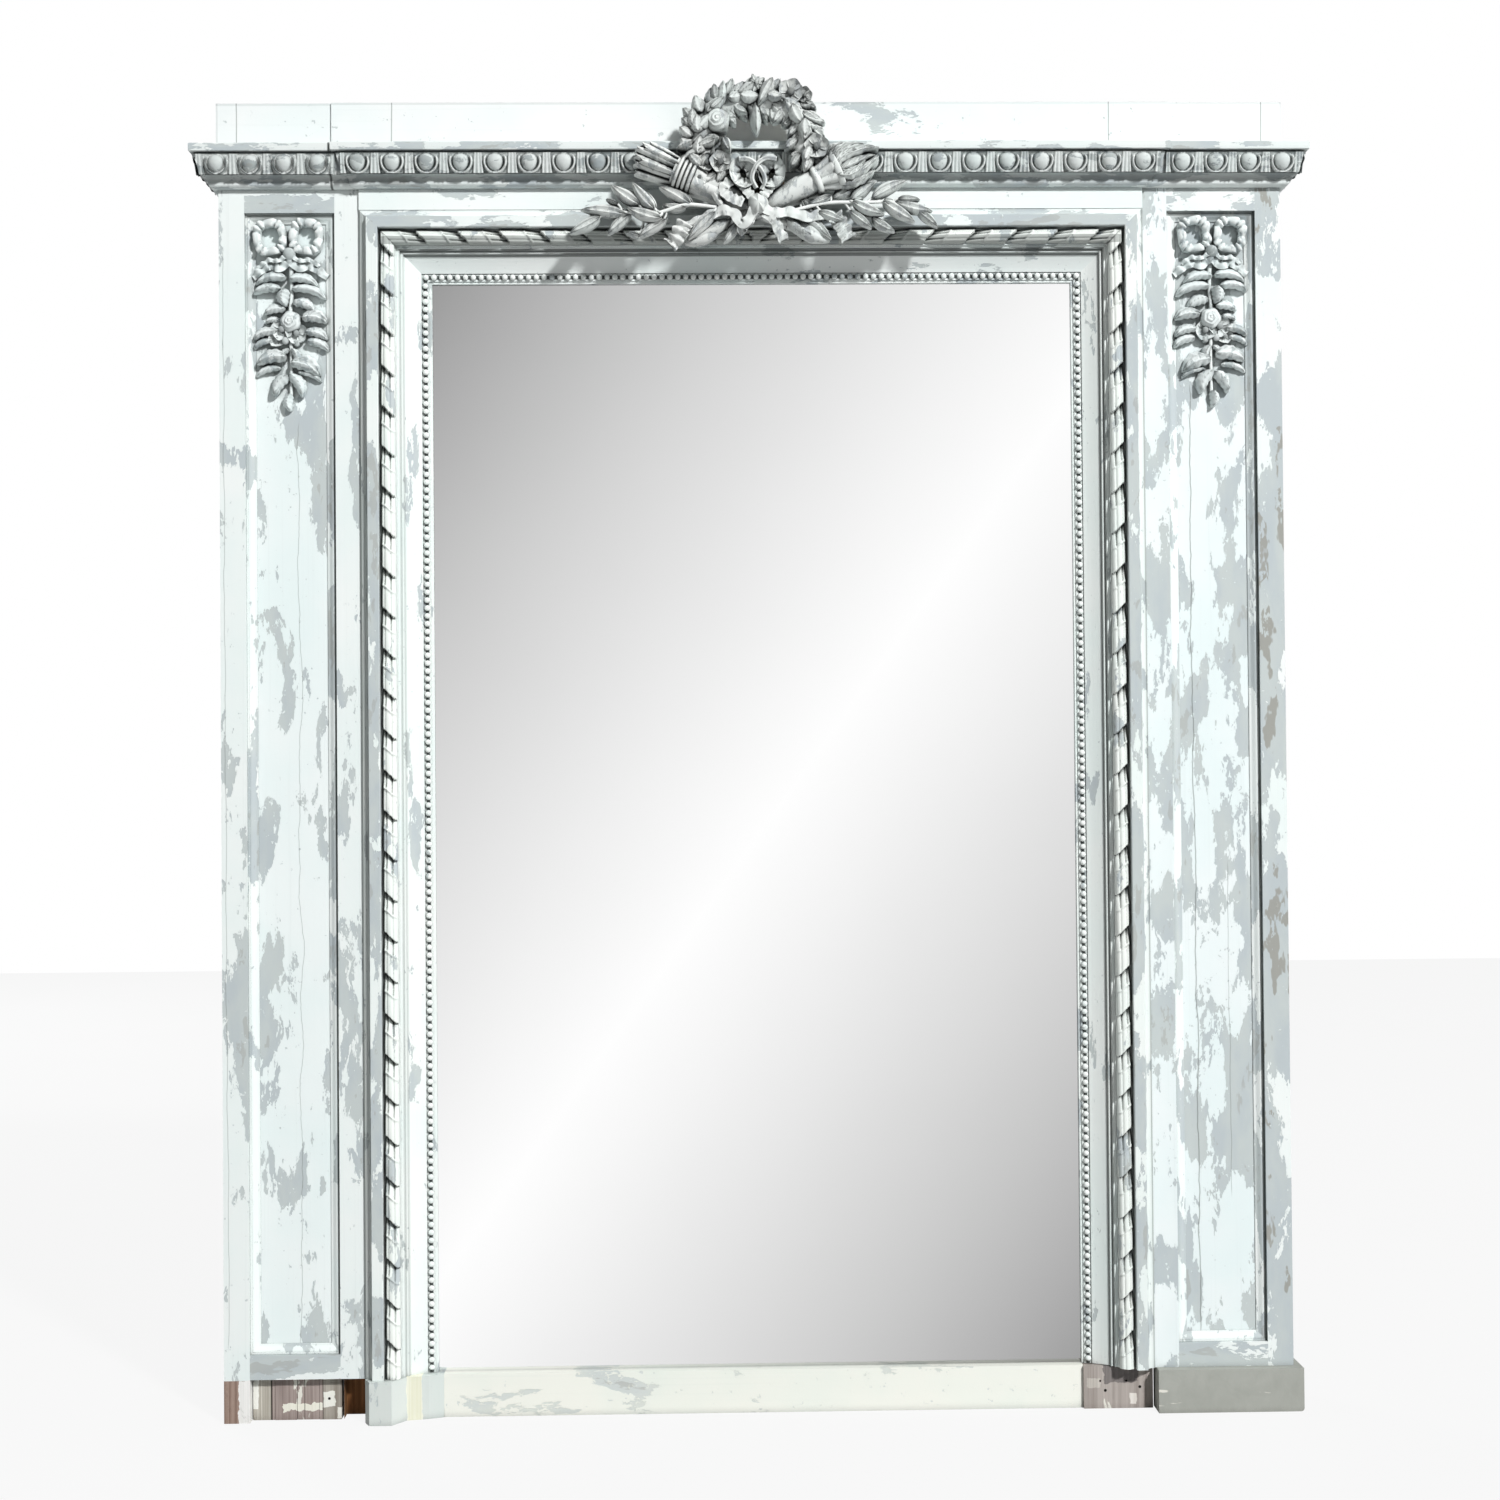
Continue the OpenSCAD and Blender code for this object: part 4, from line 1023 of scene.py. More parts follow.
    def loop(self, centre: Spot, radii: Spot, turn: float, width: float, pleats: int, height: float,
             depth: float, rim: float = 0.0, funnel: float = 0.0, square: float = 1.0) -> None:
        """Adds a bow's loop: an open ring of pleated ribbon.

        Args:
            centre: its middle.
            radii: of its middle line.
            turn: its rotation in degrees.
            width: of the ribbon.
            pleats: how many.
            height: of its middle line off the ground.
            depth: of the pleats.
            rim: how far the ribbon's edges are turned up; 0 rolls them down.
            funnel: how much lower its inner edge lies than its outer one.
            square: 1 for an oval, less for a squarer ring.
        """
        def point(v: float, u: float) -> Point:
            """Args: v: 0..1 round the ring. u: -1..1 from its inner edge. Returns: x, y and height."""
            cos, sin = math.cos(2 * math.pi * v), math.sin(2 * math.pi * v)
            wave = abs(math.sin(math.pi * v * pleats)) ** 0.7
            across = u * width / 2
            x = math.copysign((radii[0] + across) * abs(cos) ** square, cos)
            y = math.copysign((radii[1] + across) * abs(sin) ** square, sin)
            x, y = turned(turn, x, y)
            high = height + depth * (wave - 0.6) * (0.4 + 0.6 * abs(u)) - funnel * ((1 - u) / 2) ** 1.3
            if rim:
                high += rim * (math.exp(-((1 - abs(u)) / 0.2) ** 2) - 0.7 * (1 - u * u))
            else:
                high -= 0.22 * height * u * u
            return centre[0] + x, centre[1] + y, high

        self.shape.slab(self.sheet(72, 8, point), height * 0.62)

    def petal(self, centre: Spot, radius: float, height: float, lift: float, turn: float) -> None:
        """Adds one petal of an open flower.

        Args:
            centre: the flower's middle.
            radius: the flower's radius.
            height: how high it stands.
            lift: how high its ground is.
            turn: the petal's direction in degrees.
        """
        def point(v: float, u: float) -> Point:
            """Args: v: 0..1 along the petal. u: -1..1 across it. Returns: x, y and height."""
            spread = 0.62 * math.sin(math.pi * (0.12 + 0.80 * v)) ** 0.8 * (0.55 + 0.75 * v)
            half = radius * spread * math.tan(math.pi / self.PETALS) * 1.25
            along = radius * (0.12 + 0.88 * v) * (1 - 0.10 * u * u * v)
            cup = height * (0.35 + 0.5 * v ** 1.6 - 0.28 * (1 - u * u) * math.sin(math.pi * v))
            x, y = turned(turn, along, u * half)
            return centre[0] + x, centre[1] + y, lift + cup

        self.shape.slab(self.sheet(8, 8, point), lift * 0.5 + height * 0.3)

    def petals(self, centre: Spot, radius: float, height: float, lift: float) -> None:
        """Adds an open flower with a round heart.

        Args:
            centre: its middle.
            radius: its radius.
            height: how high it stands.
            lift: how high its ground is.
        """
        start = self.random.uniform(0, 360)
        for i in range(self.PETALS):
            turn = start + i * 360 / self.PETALS + self.random.uniform(-5, 5)
            self.petal(centre, radius, height, lift, turn)
        heart = radius * 0.3 * MM
        middle = self.space.at(*centre, lift + height * 0.65)
        self.shape.ball(middle, Vector((heart, heart * 0.8, heart)), rings=6, sides=10)

    def ball(self, centre: Spot, radius: float, height: float, flat: float = 0.8) -> None:
        """Adds a round bud.

        Args:
            centre: its middle.
            radius: its radius.
            height: of its middle off the ground.
            flat: its depth as a share of its radius.
        """
        r = radius * MM
        self.shape.ball(self.space.at(*centre, height), Vector((r, r * flat, r)), rings=10, sides=16)

    def rose(self, centre: Spot, radius: float, lift: float, height: float) -> None:
        """Adds a full rose: a ball of overlapping petals.

        Args:
            centre: its middle.
            radius: its radius.
            lift: height of its ground.
            height: how far it stands off that.
        """
        rings, sides, winds = 16, 48, 3.2
        rows = []
        start = self.random.uniform(0, 6)
        for j in range(rings + 1):
            v = j / rings
            row = []
            for i in range(sides):
                a = 2 * math.pi * i / sides
                lip = (v * winds + a / (2 * math.pi)) % 1.0 - 0.5
                r = radius * v * (1 + 0.05 * math.sin(5 * a + start))
                h = height * math.sqrt(1 - v * v * 0.92) + height * 0.16 * lip * (v > 0.08)
                row.append(self.space.at(centre[0] + r * math.cos(a), centre[1] + r * math.sin(a), lift + h))
            rows.append(row)
        rows.append([p + Vector((0, (lift + height * 0.2) * MM, 0)) for p in rows[-1]])
        self.shape.grid(rows, wrap=True)

    def shaft(self, turn: float, profile: Path, ridges: int = 0, depth: float = 0.0,
              twist: float = 0.0) -> None:
        """Adds a turned shaft that lies on the ground.

        Args:
            turn: its direction in degrees.
            profile: distance along it, radius, and height of its top off the ground.
            ridges: ridges over its visible half.
            depth: how deep they are, as a share of the radius.
            twist: how far the ridges wind, in radians a millimetre.
        """
        sides = 32
        rows = []
        for u, r, h in self.curve(profile, 5):
            r = max(r, 0.5)
            section = []
            for k in range(sides + 1):
                a = math.pi * k / sides
                wave = abs(math.cos(ridges * a / 2 + u * twist * ridges)) * 2 - 1.3
                ridge = 1 + depth * wave if ridges else 1.0
                high = max(0.0, h - r) + min(r, h) * math.sin(a) * ridge
                section.append((r * ridge * math.cos(a), high))
            section = [(section[0][0], 0.0)] + section + [(section[-1][0], 0.0)]
            rows.append([self.space.at(*turned(turn, u, side), high) for side, high in section])
        self.shape.grid(rows, close=True)

    def feather(self, start: Spot, end: Spot, width: float, high: float) -> None:
        """Adds an arrow's feather.

        Args:
            start: where it leaves the quiver.
            end: its end.
            width: its width.
            high: height of its ridge off the ground.
        """
        length, ux, uy = heading(start, end)

        def point(v: float, u: float) -> Point:
            """Args: v: 0..1 along the feather. u: -1..1 across it. Returns: x, y and height."""
            narrow = 1 - 0.25 * max(0.0, v - 0.85) / 0.15
            side = u * width / 2 * (0.62 + 0.38 * min(1.0, v * 2.2)) * narrow
            along = v * length * (1 + 0.05 * abs(u)) + abs(u) * 2
            barbs = 0.6 * math.sin(v * 34 + abs(u) * 5) * abs(u)
            return (start[0] + ux * along - uy * side, start[1] + uy * along + ux * side,
                    high - 4.6 * abs(u) ** 1.3 + barbs - 2.5 * v * v)

        self.shape.slab(self.sheet(30, 8, point), high * 0.55)

    def star(self, centre: Spot, radius: float, lift: float, height: float) -> None:
        """Adds a flower with two rounds of pointed petals.

        Args:
            centre: its middle.
            radius: its radius.
            lift: height of its ground.
            height: how far it stands off that.
        """
        start = self.random.uniform(0, 360)
        for k, share in enumerate((1.0, 0.7)):
            for i in range(self.PETALS):
                turn = start + (i + 0.5 * k) * 360 / self.PETALS + self.random.uniform(-8, 8)
                ux, uy = turned(turn, 1, 0)
                base = (centre[0] + radius * 0.08 * ux, centre[1] + radius * 0.08 * uy)
                tip = (centre[0] + radius * share * ux, centre[1] + radius * share * uy)
                tip_lift = lift + height * self.random.uniform(-0.25, 0.25)
                self.leaf(base, tip, radius * 0.58 * share, height * 0.5, lift + height * 0.2 + 2.5 * k,
                          tip_lift, groove=0.45, veins=0.04, fill=lift * 0.6)
        self.ball(centre, radius * 0.2, lift + height * 0.75)

    def knot(self, centre: Spot, radii: Spot, high: float) -> None:
        """Adds the knot of a bow, with its folds.

        Args:
            centre: its middle.
            radii: half its width and half its height.
            high: height of its top off the ground.
        """
        rings, sides = 12, 48
        rows = []
        for j in range(rings + 1):
            p = math.pi / 2 * (0.03 + 0.97 * j / rings)
            row = []
            for i in range(sides):
                q = 2 * math.pi * i / sides
                fold = 1 + 0.07 * math.sin(p) * math.sin(7 * math.cos(q) + 2.5 * math.sin(q))
                top = 0.55 + 0.45 * math.cos(p) ** 0.8 * fold if j < rings else 0.5
                row.append(self.space.at(centre[0] + radii[0] * math.sin(p) * math.cos(q) * fold,
                                         centre[1] + radii[1] * math.sin(p) * math.sin(q) * fold, high * top))
            rows.append(row)
        rows.append([p + Vector((0, high * 0.45 * MM, 0)) for p in rows[-1]])
        self.shape.grid(rows, wrap=True, close=True)


@dataclass
class RibbonTwist:
    """A fluted ribbon that winds along a moulding in S-shaped folds.

    Attributes:
        node: the CAD node it stands for.
        mitre: the sight corner's x and z that its ends are cut at, in metres.
        pitch: millimetres a fold.
        first: where a fold ends on its middle line, in millimetres: a height, or how far out along the head.
        lean: which way the folds lean: 1 or -1.
        upright: whether it runs along z.
        flutes: where its grooves are, -1..1 across it.
        step: how far apart its rows of points are, in metres.
        gap: how far its ends stay back from the mitre, in metres.
    """

    node: str
    mitre: Spot
    pitch: float = 58.5
    first: Spot = (1633.0, 1633.0)
    lean: int = 1
    upright: bool = True
    flutes: tuple[float, ...] = (-0.48, 0.36)
    step: float = 0.0013
    gap: float = 0.0004

    def high(self, d: float, u: float) -> float:
        """Args:
            d: folds from where one ends on the middle line, outward or down.
            u: -1..1 across it.

        Returns:
            The share of its full height that it stands at.
        """
        part = (d - 0.14 * (u + 0.15 * math.sin(math.pi * u))) % 1.0
        climb = 0.44 - 0.03 * u
        low_part = part < climb
        if low_part:
            base = 0.26 + 0.66 * (part / climb) ** 0.8
        else:
            t = (part - climb) / (1 - climb)
            base = 0.84 + 0.13 * math.sin(math.pi / 2 * min(1.0, 1.3 * t))
        lip = 0.10 * math.exp(-((part - climb + 0.02) / 0.028) ** 2)
        groove = sum(math.exp(-((u - flute) / 0.095) ** 2) for flute in self.flutes)
        fade = min(1.0, abs(part - climb) / 0.05) * min(1.0, (1 - part) / 0.03)
        return base + lip - (0.26 if low_part else 0.12) * groove * fade

    def folds(self, along: float) -> float:
        """Args: along: a place along it, in metres. Returns: how many folds that is from the first."""
        if self.upright:
            return (self.first[0] * MM - along) / (self.pitch * MM)
        return (abs(along) - self.first[int(along > 0)] * MM) / (self.pitch * MM)

    def build(self, material: bpy.types.Material) -> None:
        """Args: material: its finish."""
        low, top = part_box(self.node)
        shape = Shape("detail_" + self.node)
        axis, side = (2, 0) if self.upright else (0, 2)
        middle = (low[side] + top[side]) / 2
        reach = (top[side] - low[side]) / 2
        tall = (top.y - low.y) * 1.12
        length = top[axis] - low[axis]
        steps, wide = int(length / self.step), 30
        rows = []
        for i in range(steps + 1):
            along = low[axis] + length * i / steps
            row = []
            for j in range(wide + 1):
                a = math.pi * (j / wide - 0.5) * 0.98
                u = math.sin(a)
                share = self.high(self.folds(along), u * self.lean)
                share = min(share + 0.010 * smooth_noise(along * 90, u * 3, 2.0), 1.0)
                p = Vector((0, 0, 0))
                p[axis] = along
                p[side] = middle + reach * u * (0.80 + 0.20 * share)
                p.y = top.y - max(tall * max(0.0, math.cos(a)) ** 0.62 * share, self.gap)
                self.cut(p)
                row.append(p)
            rows.append(row)
        shape.grid(rows)
        shape.build(material, [self.node])

    def cut(self, p: Vector) -> None:
        """Moves a point back to the mitre if it lies beyond it.

        Args:
            p: the point, changed in place.
        """
        over = (abs(p.x) - self.mitre[0]) - (p.z - self.mitre[1])
        if self.upright and over < 0:
            p.z += over - self.gap
        elif not self.upright and over > 0:
            p.x -= math.copysign(over + self.gap, p.x)


@dataclass
class PearlBeads:
    """A string of round beads.

    Attributes:
        node: the CAD node it stands for.
        upright: whether it runs along z.
        pitch: millimetres between beads.
        uneven: the smallest bead's size, as a share of the largest's.
    """

    node: str
    upright: bool = True
    pitch: float = 11.5
    uneven: float = 0.93

    def build(self, material: bpy.types.Material) -> None:
        """Args: material: its finish."""
        low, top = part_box(self.node)
        shape = Shape("detail_" + self.node)
        axis, side = (2, 0) if self.upright else (0, 2)
        length = top[axis] - low[axis]
        radius = (top[side] - low[side]) / 2
        count = int((length / MM - 2 * radius / MM) / self.pitch)
        start = low[axis] + (length - count * self.pitch * MM) / 2
        rng = random.Random(self.node)
        for i in range(count + 1):
            c = (low + top) / 2
            c[axis] = start + i * self.pitch * MM
            c.y = top.y - radius * 0.28
            r = Vector((radius, radius * 0.80, radius)) * rng.uniform(self.uneven, 1.0)
            r[axis] *= rng.uniform(self.uneven, 1.0)
            c[side] += rng.uniform(-0.15 * MM, 0.15 * MM)
            shape.ball(c, r, rings=8, sides=12)
        shape.build(material, [self.node])


# What each piece is finished with

FINISHES = (
    Paint("stile_paint", loss=0.30, lines=1.3, cracks=(Crack(-0.7665, 0.1, 1.7, 0.002, 0.0009, 0.5),)),
    Paint("stile_paint_left", loss=0.38, lines=1.7, cracks=(Crack(-0.7665, 0.1, 1.7, 0.002, 0.0009, 0.4),),
          boards=(Board((-800, -730), (-9, 61), srgb(168, 146, 134), srgb(132, 110, 98), 1.5),
                  Board((-752, -730), (-9, 61), srgb(252, 251, 248), srgb(240, 240, 236), 9.0))),
    Paint("stile_paint_right", loss=0.72, lines=4.1, rub=0.8),
    Paint("rail_paint", grain=Grain.ALONG, loss=0.6, lines=2.2),
    Paint("panel_paint", loss=0.22, lines=7.7, white=srgb(247, 254, 253),
          cracks=(Crack(-0.661, 0.1, 1.45, 0.005, 0.0008, 0.45),)),
    Paint("panel_paint_right", loss=0.46, lines=9.4, white=srgb(245, 252, 252),
          cracks=(Crack(0.640, 0.1, 1.5, 0.004, 0.0012, 0.6), Crack(0.688, 0.3, 0.8, 0.002, 0.0009, 0.4))),
    # Painted shade: a dark line down the right-hand side of each panel, where the stile's edge casts its
    # shadow, and one under the top rails.
    Paint("moulding_paint", loss=0.5, lines=3.3, shade_and_dirt=0.9,
          shade_lines=(ShadeLine(607.6, 1.7, (0.85, 0.0)), ShadeLine(734.4, 1.7, (0.0, 0.85)),
                      ShadeLine(1742.5, 2.5, (0.6, 0.6), False))),
    # Painted shade: dark lines along the jambs' cove, steps and bead bed.
    Paint("frame_paint", loss=0.06, lines=5.5, streak=0.15, white=srgb(249, 254, 251), size=1.6,
          proud=(0.0905, 0.58),
          shade_lines=(ShadeLine(564.0, 5.0, (0.4, 0.1)), ShadeLine(569.6, 1.3, (0.8, 0.5)),
                      ShadeLine(478.5, 2.6, (0.95, 0.95)), ShadeLine(513.0, 1.4, (0.25, 0.75)),
                      ShadeLine(508.0, 1.4, (0.25, 0.75)))),
    # Painted shade: dark lines along the steps and hollows of the head's mouldings.
    Paint("head_paint", grain=Grain.ALONG, loss=0.12, lines=6.1, streak=0.15, size=1.6, proud=(0.0905, 0.55),
          shade_lines=(ShadeLine(1657.5, 2.8, (0.95, 0.95), False), ShadeLine(1692.0, 2.0, (0.75, 0.75), False),
                      ShadeLine(1686.5, 2.0, (0.75, 0.75), False))),
    # Painted shade: the deep colour fills the ribbons' folds, and a dark line runs along the head ribbon
    # where the band casts its shadow.
    Paint("ribbon_paint", loss=0.08, lines=8.2, streak=0.0, white=srgb(249, 253, 248), shade_and_dirt=1.0, reach=0.012,
          size=2, deep=srgb(40, 44, 42), corner=(0.2, 0.7),
          shade_lines=(ShadeLine(1703.5, 6.0, (0.5, 0.5), False),)),
    # Painted shade: the deep colour fills the gaps between the beads.
    Paint("bead_paint", loss=0.0, lines=8.9, streak=0.0, white=srgb(250, 254, 251), shade_and_dirt=1.0, reach=0.008,
          deep=srgb(34, 40, 40), corner=(0.15, 0.55)),
    Paint("board_paint", grain=Grain.ALONG, loss=0.22, lines=2.9, white=srgb(252, 253, 244),
          grey=srgb(228, 233, 226)),
    # The board paints the block's angled face paler and creamier: painted light where it turns to the light,
    # with a cream tone.
    Paint("block_paint", loss=0.3, lines=3.9, white=srgb(228, 232, 228),
          boards=(Board((-512, -490), (-9, 120), srgb(246, 246, 230), srgb(236, 236, 212), 6.0),)),
    Paint("frieze_paint", grain=Grain.ALONG, loss=0.33, lines=4.4),
    # Painted shade: a dark line in the hollow under the eggs, and less painted shade in the corners of faces
    # that look to the left.
    Paint("cornice_paint", grain=Grain.ALONG, loss=0.5, lines=5.1, white=srgb(240, 245, 243), shade_and_dirt=1.0,
          deep=srgb(60, 66, 66), size=2, cracks=(Crack(-0.6075, 1.7, 1.9, 0.001, 0.0026, 1.0),),
          shade_lines=(ShadeLine(1791.0, 5.5, (0.4, 0.4), False),), less_shade_left=1.0),
    # Painted shade in the hollows, ridges lightened as wear and painted highlight, and less painted shade on
    # the faces that look to the left.
    Paint("egg_paint", grain=Grain.ALONG, loss=0.3, lines=6.8, white=srgb(218, 223, 221),
          grey=srgb(172, 180, 179), shade_and_dirt=1.0, ridge=0.8, size=3, reach=0.012, deep=srgb(36, 42, 42),
          corner=(0.13, 0.6), less_shade_left=0.8),
    # Painted shade: a thin grey line along the top edge and down the outer ends.
    Paint("attic_paint", grain=Grain.ALONG, loss=-0.15, lines=1.9, streak=0.12, white=srgb(251, 254, 253),
          cracks=tuple(Crack(x, 1.8, 2.0, 0.001, 0.0012, 0.55) for x in (-0.746, -0.522, 0.522, 0.746)),
          shade_lines=(ShadeLine(1903.6, 1.9, (0.16, 0.12), False), ShadeLine(775.0, 1.6, (0.16, 0.10)))),
    # Raised edges lightened as wear and painted highlight; creases and hollows darkened as painted shade.
    Paint("drop_paint", loss=0.2, lines=2.6, streak=0.0, white=srgb(238, 244, 243), grey=srgb(196, 205, 204),
          shade_and_dirt=1.0, ridge=0.7, size=3, reach=0.015, deep=srgb(64, 70, 70)),
    # Raised edges lightened as wear and painted highlight; creases and hollows darkened as painted shade.
    Paint("crest_paint", loss=0.3, lines=7.1, streak=0.0, white=srgb(238, 241, 238), grey=srgb(202, 207, 205),
          shade_and_dirt=1.0, ridge=0.9, size=4, deep=srgb(32, 36, 35), corner=(0.16, 0.7)),
    Paint("side_paint", loss=0.35, lines=9.9, white=srgb(236, 242, 240)),
    BareWood("foot_wood", srgb(182, 168, 162), srgb(138, 124, 119), 0.12, holes=((-625, 30, 2.0),),
             boards=(Board((-740, -708), (0, 90), srgb(222, 218, 208), srgb(176, 170, 158), 3.0),
                     Board((-735, -727), (16, 58), srgb(252, 252, 246), srgb(240, 240, 232), 6.0),
                     Board((-709, -707), (0, 90), srgb(66, 58, 52), srgb(50, 44, 40)),
                     Board((-634, -600), (0, 90), srgb(188, 182, 172), srgb(146, 138, 128), 2.0),
                     Board((-692, -634), (13, 24), srgb(250, 249, 236), srgb(242, 240, 226), 14.0),
                     Board((-634, -616), (18, 40), srgb(252, 252, 244), srgb(240, 240, 230), 8.0),
                     Board((-613, -604), (2, 17), srgb(250, 249, 240), srgb(238, 236, 226), 7.0),
                     Board((-661, -660), (0, 90), srgb(110, 100, 95), srgb(96, 86, 80)),
                     Board((-634.6, -633.4), (0, 90), srgb(84, 76, 70), srgb(70, 62, 58)),
                     Board((-604, -560), (0, 90), srgb(160, 112, 74), srgb(122, 84, 52)))),
    # The first board, a grey band along the top of the core, is a painted shadow.
    BareWood("core_wood", srgb(200, 192, 186), srgb(158, 149, 143), 0.15, lines=5.0,
             holes=((500.4, 26.0, 2.2), (550.8, 30.7, 2.2)),
             boards=(Board((498, 548), (36, 80), srgb(140, 134, 132), srgb(120, 114, 112), 16.0),
                     Board((536, 546), (6, 22), srgb(246, 242, 236), srgb(228, 222, 214), 6.0),
                     Board((474, 492), (30, 44), srgb(214, 208, 200), srgb(190, 184, 176), 8.0))),
    BareWood("plinth_wood", srgb(180, 182, 175), srgb(168, 170, 163), 0.05, Grain.ALONG, 8.0),
    # Painted shade: the crest's bracket, seen through the gaps in the carving, is coloured near black.
    BareWood("bracket_shade_wood", srgb(92, 80, 66), srgb(48, 42, 36), lines=4.0),
    BareWood("recess_wood", srgb(142, 104, 70), srgb(96, 66, 42), lines=6.0),
    BareWood("back_wood", srgb(168, 132, 92), srgb(112, 82, 54), lines=2.0),
    MirrorGlass(),
    Metal("zinc_steel", srgb(168, 168, 164)),
    Metal("nail_iron", srgb(78, 72, 68), 0.6),
)

# The nodes that have each finish.
NODES_BY_FINISH: dict[str, tuple[str, ...]] = {
    "side_paint": ("left_side_board", "right_side_board"),
    "stile_paint_left": ("left_outer_stile",),
    "stile_paint_right": ("right_outer_stile",),
    "stile_paint": ("left_inner_stile",),
    "panel_paint_right": ("right_inner_stile", "right_panel"),
    "panel_paint": ("left_panel",),
    "rail_paint": ("left_top_rail", "right_top_rail", "left_bottom_rail", "right_bottom_rail"),
    "moulding_paint": ("left_panel_moulding", "right_panel_moulding"),
    "foot_wood": ("left_rough_foot",),
    "plinth_wood": ("right_plinth",),
    "frame_paint": ("left_jamb", "right_jamb"),
    "head_paint": ("frame_head",),
    "ribbon_paint": ("left_ribbon", "right_ribbon", "head_ribbon"),
    "bead_paint": ("left_beads", "right_beads", "head_beads"),
    "block_paint": ("left_jamb_block",),
    "core_wood": ("right_jamb_core",),
    "board_paint": ("bottom_board",),
    "frieze_paint": ("frieze_board",),
    "mirror_glass": ("mirror_glass",),
    "back_wood": ("glass_blocks", "left_backboard", "middle_backboard", "right_backboard", "top_batten",
                  "middle_batten", "bottom_batten"),
    "nail_iron": ("backboard_nails",),
    "zinc_steel": ("hanging_plates", "hanging_screws"),
    "cornice_paint": ("left_cornice", "middle_cornice", "right_cornice"),
    "egg_paint": ("left_egg_and_dart", "middle_egg_and_dart", "right_egg_and_dart"),
    "attic_paint": ("left_attic", "middle_attic", "right_attic", "attic_returns"),
    "drop_paint": ("left_drop", "right_drop"),
    "crest_paint": ("crest_trophy", "crest_wreath", "crest_bow", "crest_left_branch", "crest_right_branch"),
    "bracket_shade_wood": ("crest_bracket",),
}


class Paintwork:
    """Every finish in the scene, built once."""

    def __init__(self) -> None:
        """Builds the materials."""
        self.materials: dict[str, bpy.types.Material] = {finish.name: finish.build() for finish in FINISHES}
        LOG.info("finishes: %d", len(self.materials))

    def dress(self) -> None:
        """Gives the CAD nodes their materials."""
        for name, nodes in NODES_BY_FINISH.items():
            for node in nodes:
                mesh = frame["nodes"][node].data
                mesh.materials.clear()
                mesh.materials.append(self.materials[name])
            LOG.info("%s: %s", name, ", ".join(nodes))


# Carving


@dataclass
class Drop:
    """A carved drop on a panel: a pleated bow over leaves, a bud and a flower.

    Attributes:
        node: the CAD node it stands for.
        seed: seed of its small differences.
        flip: 1, or -1 for the drop that is carved the other way round.
        stem: points x, y and height of its stem, x growing with flip.
        leaves: base x and y, tip x and y, width, thickness, lift at the base, and groove of each leaf.
    """

    node: str
    seed: int
    flip: int = 1
    stem: Path = ((0, -62, 5), (2, -100, 5), (-1, -150, 5), (1, -200, 5), (0, -262, 4))
    leaves: tuple[tuple[float, ...], ...] = (
        (-5, -87, -50, -97, 19, 12, 5, 0.2), (-1, -88, 40, -99, 19, 12, 5, 0.2),
        (-13, -103, -54, -110, 17, 12, 4, 0.1), (3, -103, 52, -118, 18, 12, 4, 0.1),
        (5, -122, 35, -136, 19, 11, 5, -0.1), (-7, -132, -38, -139, 17, 10, 4, 0.2),
        (17, -144, 54, -152, 22, 13, 5, 0.45), (-16, -148, -37, -152, 12, 8, 4, 0.2),
        (-22, -164, -53, -176, 16, 11, 4, 0.2), (-26, -177, -54, -190, 13, 8, 2, 0.1),
        (22, -165, 54, -177, 18, 12, 4, 0.25), (24, -178, 56, -193, 16, 10, 3, 0.2),
        (-5, -202, -49, -213, 24, 14, 5, 0.25), (-14, -218, -51, -230, 13, 8, 2, 0.1),
        (2, -209, 43, -229, 26, 14, 5, 0.4), (10, -224, 44, -238, 12, 8, 2, 0.1),
        (3, -190, 8, -212, 12, 10, 5, -0.2), (-2, -190, -15, -206, 11, 8, 4, 0.3),
        (-3, -229, -24, -260, 20, 12, 5, -0.1), (-1, -227, 17, -261, 20, 12, 5, -0.1),
        (-1, -256, -1, -281, 15, 10, 4, -0.15), (-6, -104, -7, -130, 20, 14, 7, -0.1),
    )

    def bow(self, c: Carver) -> None:
        """Args: c: carves the bow's loops, ends and knot."""
        for s, loop_x, loop_y in ((-1, -28, -29), (1, 24, -28)):
            t = self.flip * s
            c.loop((self.flip * loop_x, loop_y), (18.4, 20.6), t * -7, 11.0, 11, 16.0, 9.0, square=0.62)
            end = ((3, -62, 12), (14, -73, 13), (27, -70, 11), (40, -76, 10), (54, -86, 6))
            fold = ((5, -58, 16), (16, -64, 17), (30, -63, 15), (43, -71, 11))
            c.ribbon([(t * x, y, h) for x, y, h in end], 15, pleats=6.5, depth=3.6, taper=0.7)
            c.ribbon([(t * x, y, h) for x, y, h in fold], 6, pleats=9, depth=2.4)
        c.ball((0, -54), 9.5, 13, 0.9)
        c.ball((self.flip, -64), 6.5, 11)

    def build(self, material: bpy.types.Material) -> None:
        """Args: material: its finish."""
        low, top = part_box(self.node)
        shape = Shape("detail_" + self.node)
        c = Carver(shape, Carving((low.x + top.x) / 2 / MM, top.z / MM, top.y), self.seed)
        f = self.flip
        self.bow(c)
        c.bar([(f * x, y, h) for x, y, h in self.stem], lambda t: 3.6 - t)
        for x0, y0, x1, y1, wide, thick, lift, groove in self.leaves:
            wide *= c.random.uniform(0.94, 1.06)
            bend = 0.16 * f * (1 if x1 > x0 else -1)
            c.leaf((f * x0, y0), (f * x1, y1), wide, thick, lift, lift * 0.6, groove=groove, notch=0.09,
                   bend=bend, veins=0.05, blunt=0.5, tilt=4.5)
        c.petals((f * -12, -162), 17, 9, 4)
        c.petals((f * 9, -168), 16, 9, 4)
        c.petals((f * -20, -176), 12, 7, 3)
        c.rose((f * 1, -151), 15.5, 5, 14)
        c.ball((f * -7, -179), 5.5, 8)
        c.ball((f * 9, -182), 5, 7)
        shape.build(material, [self.node])


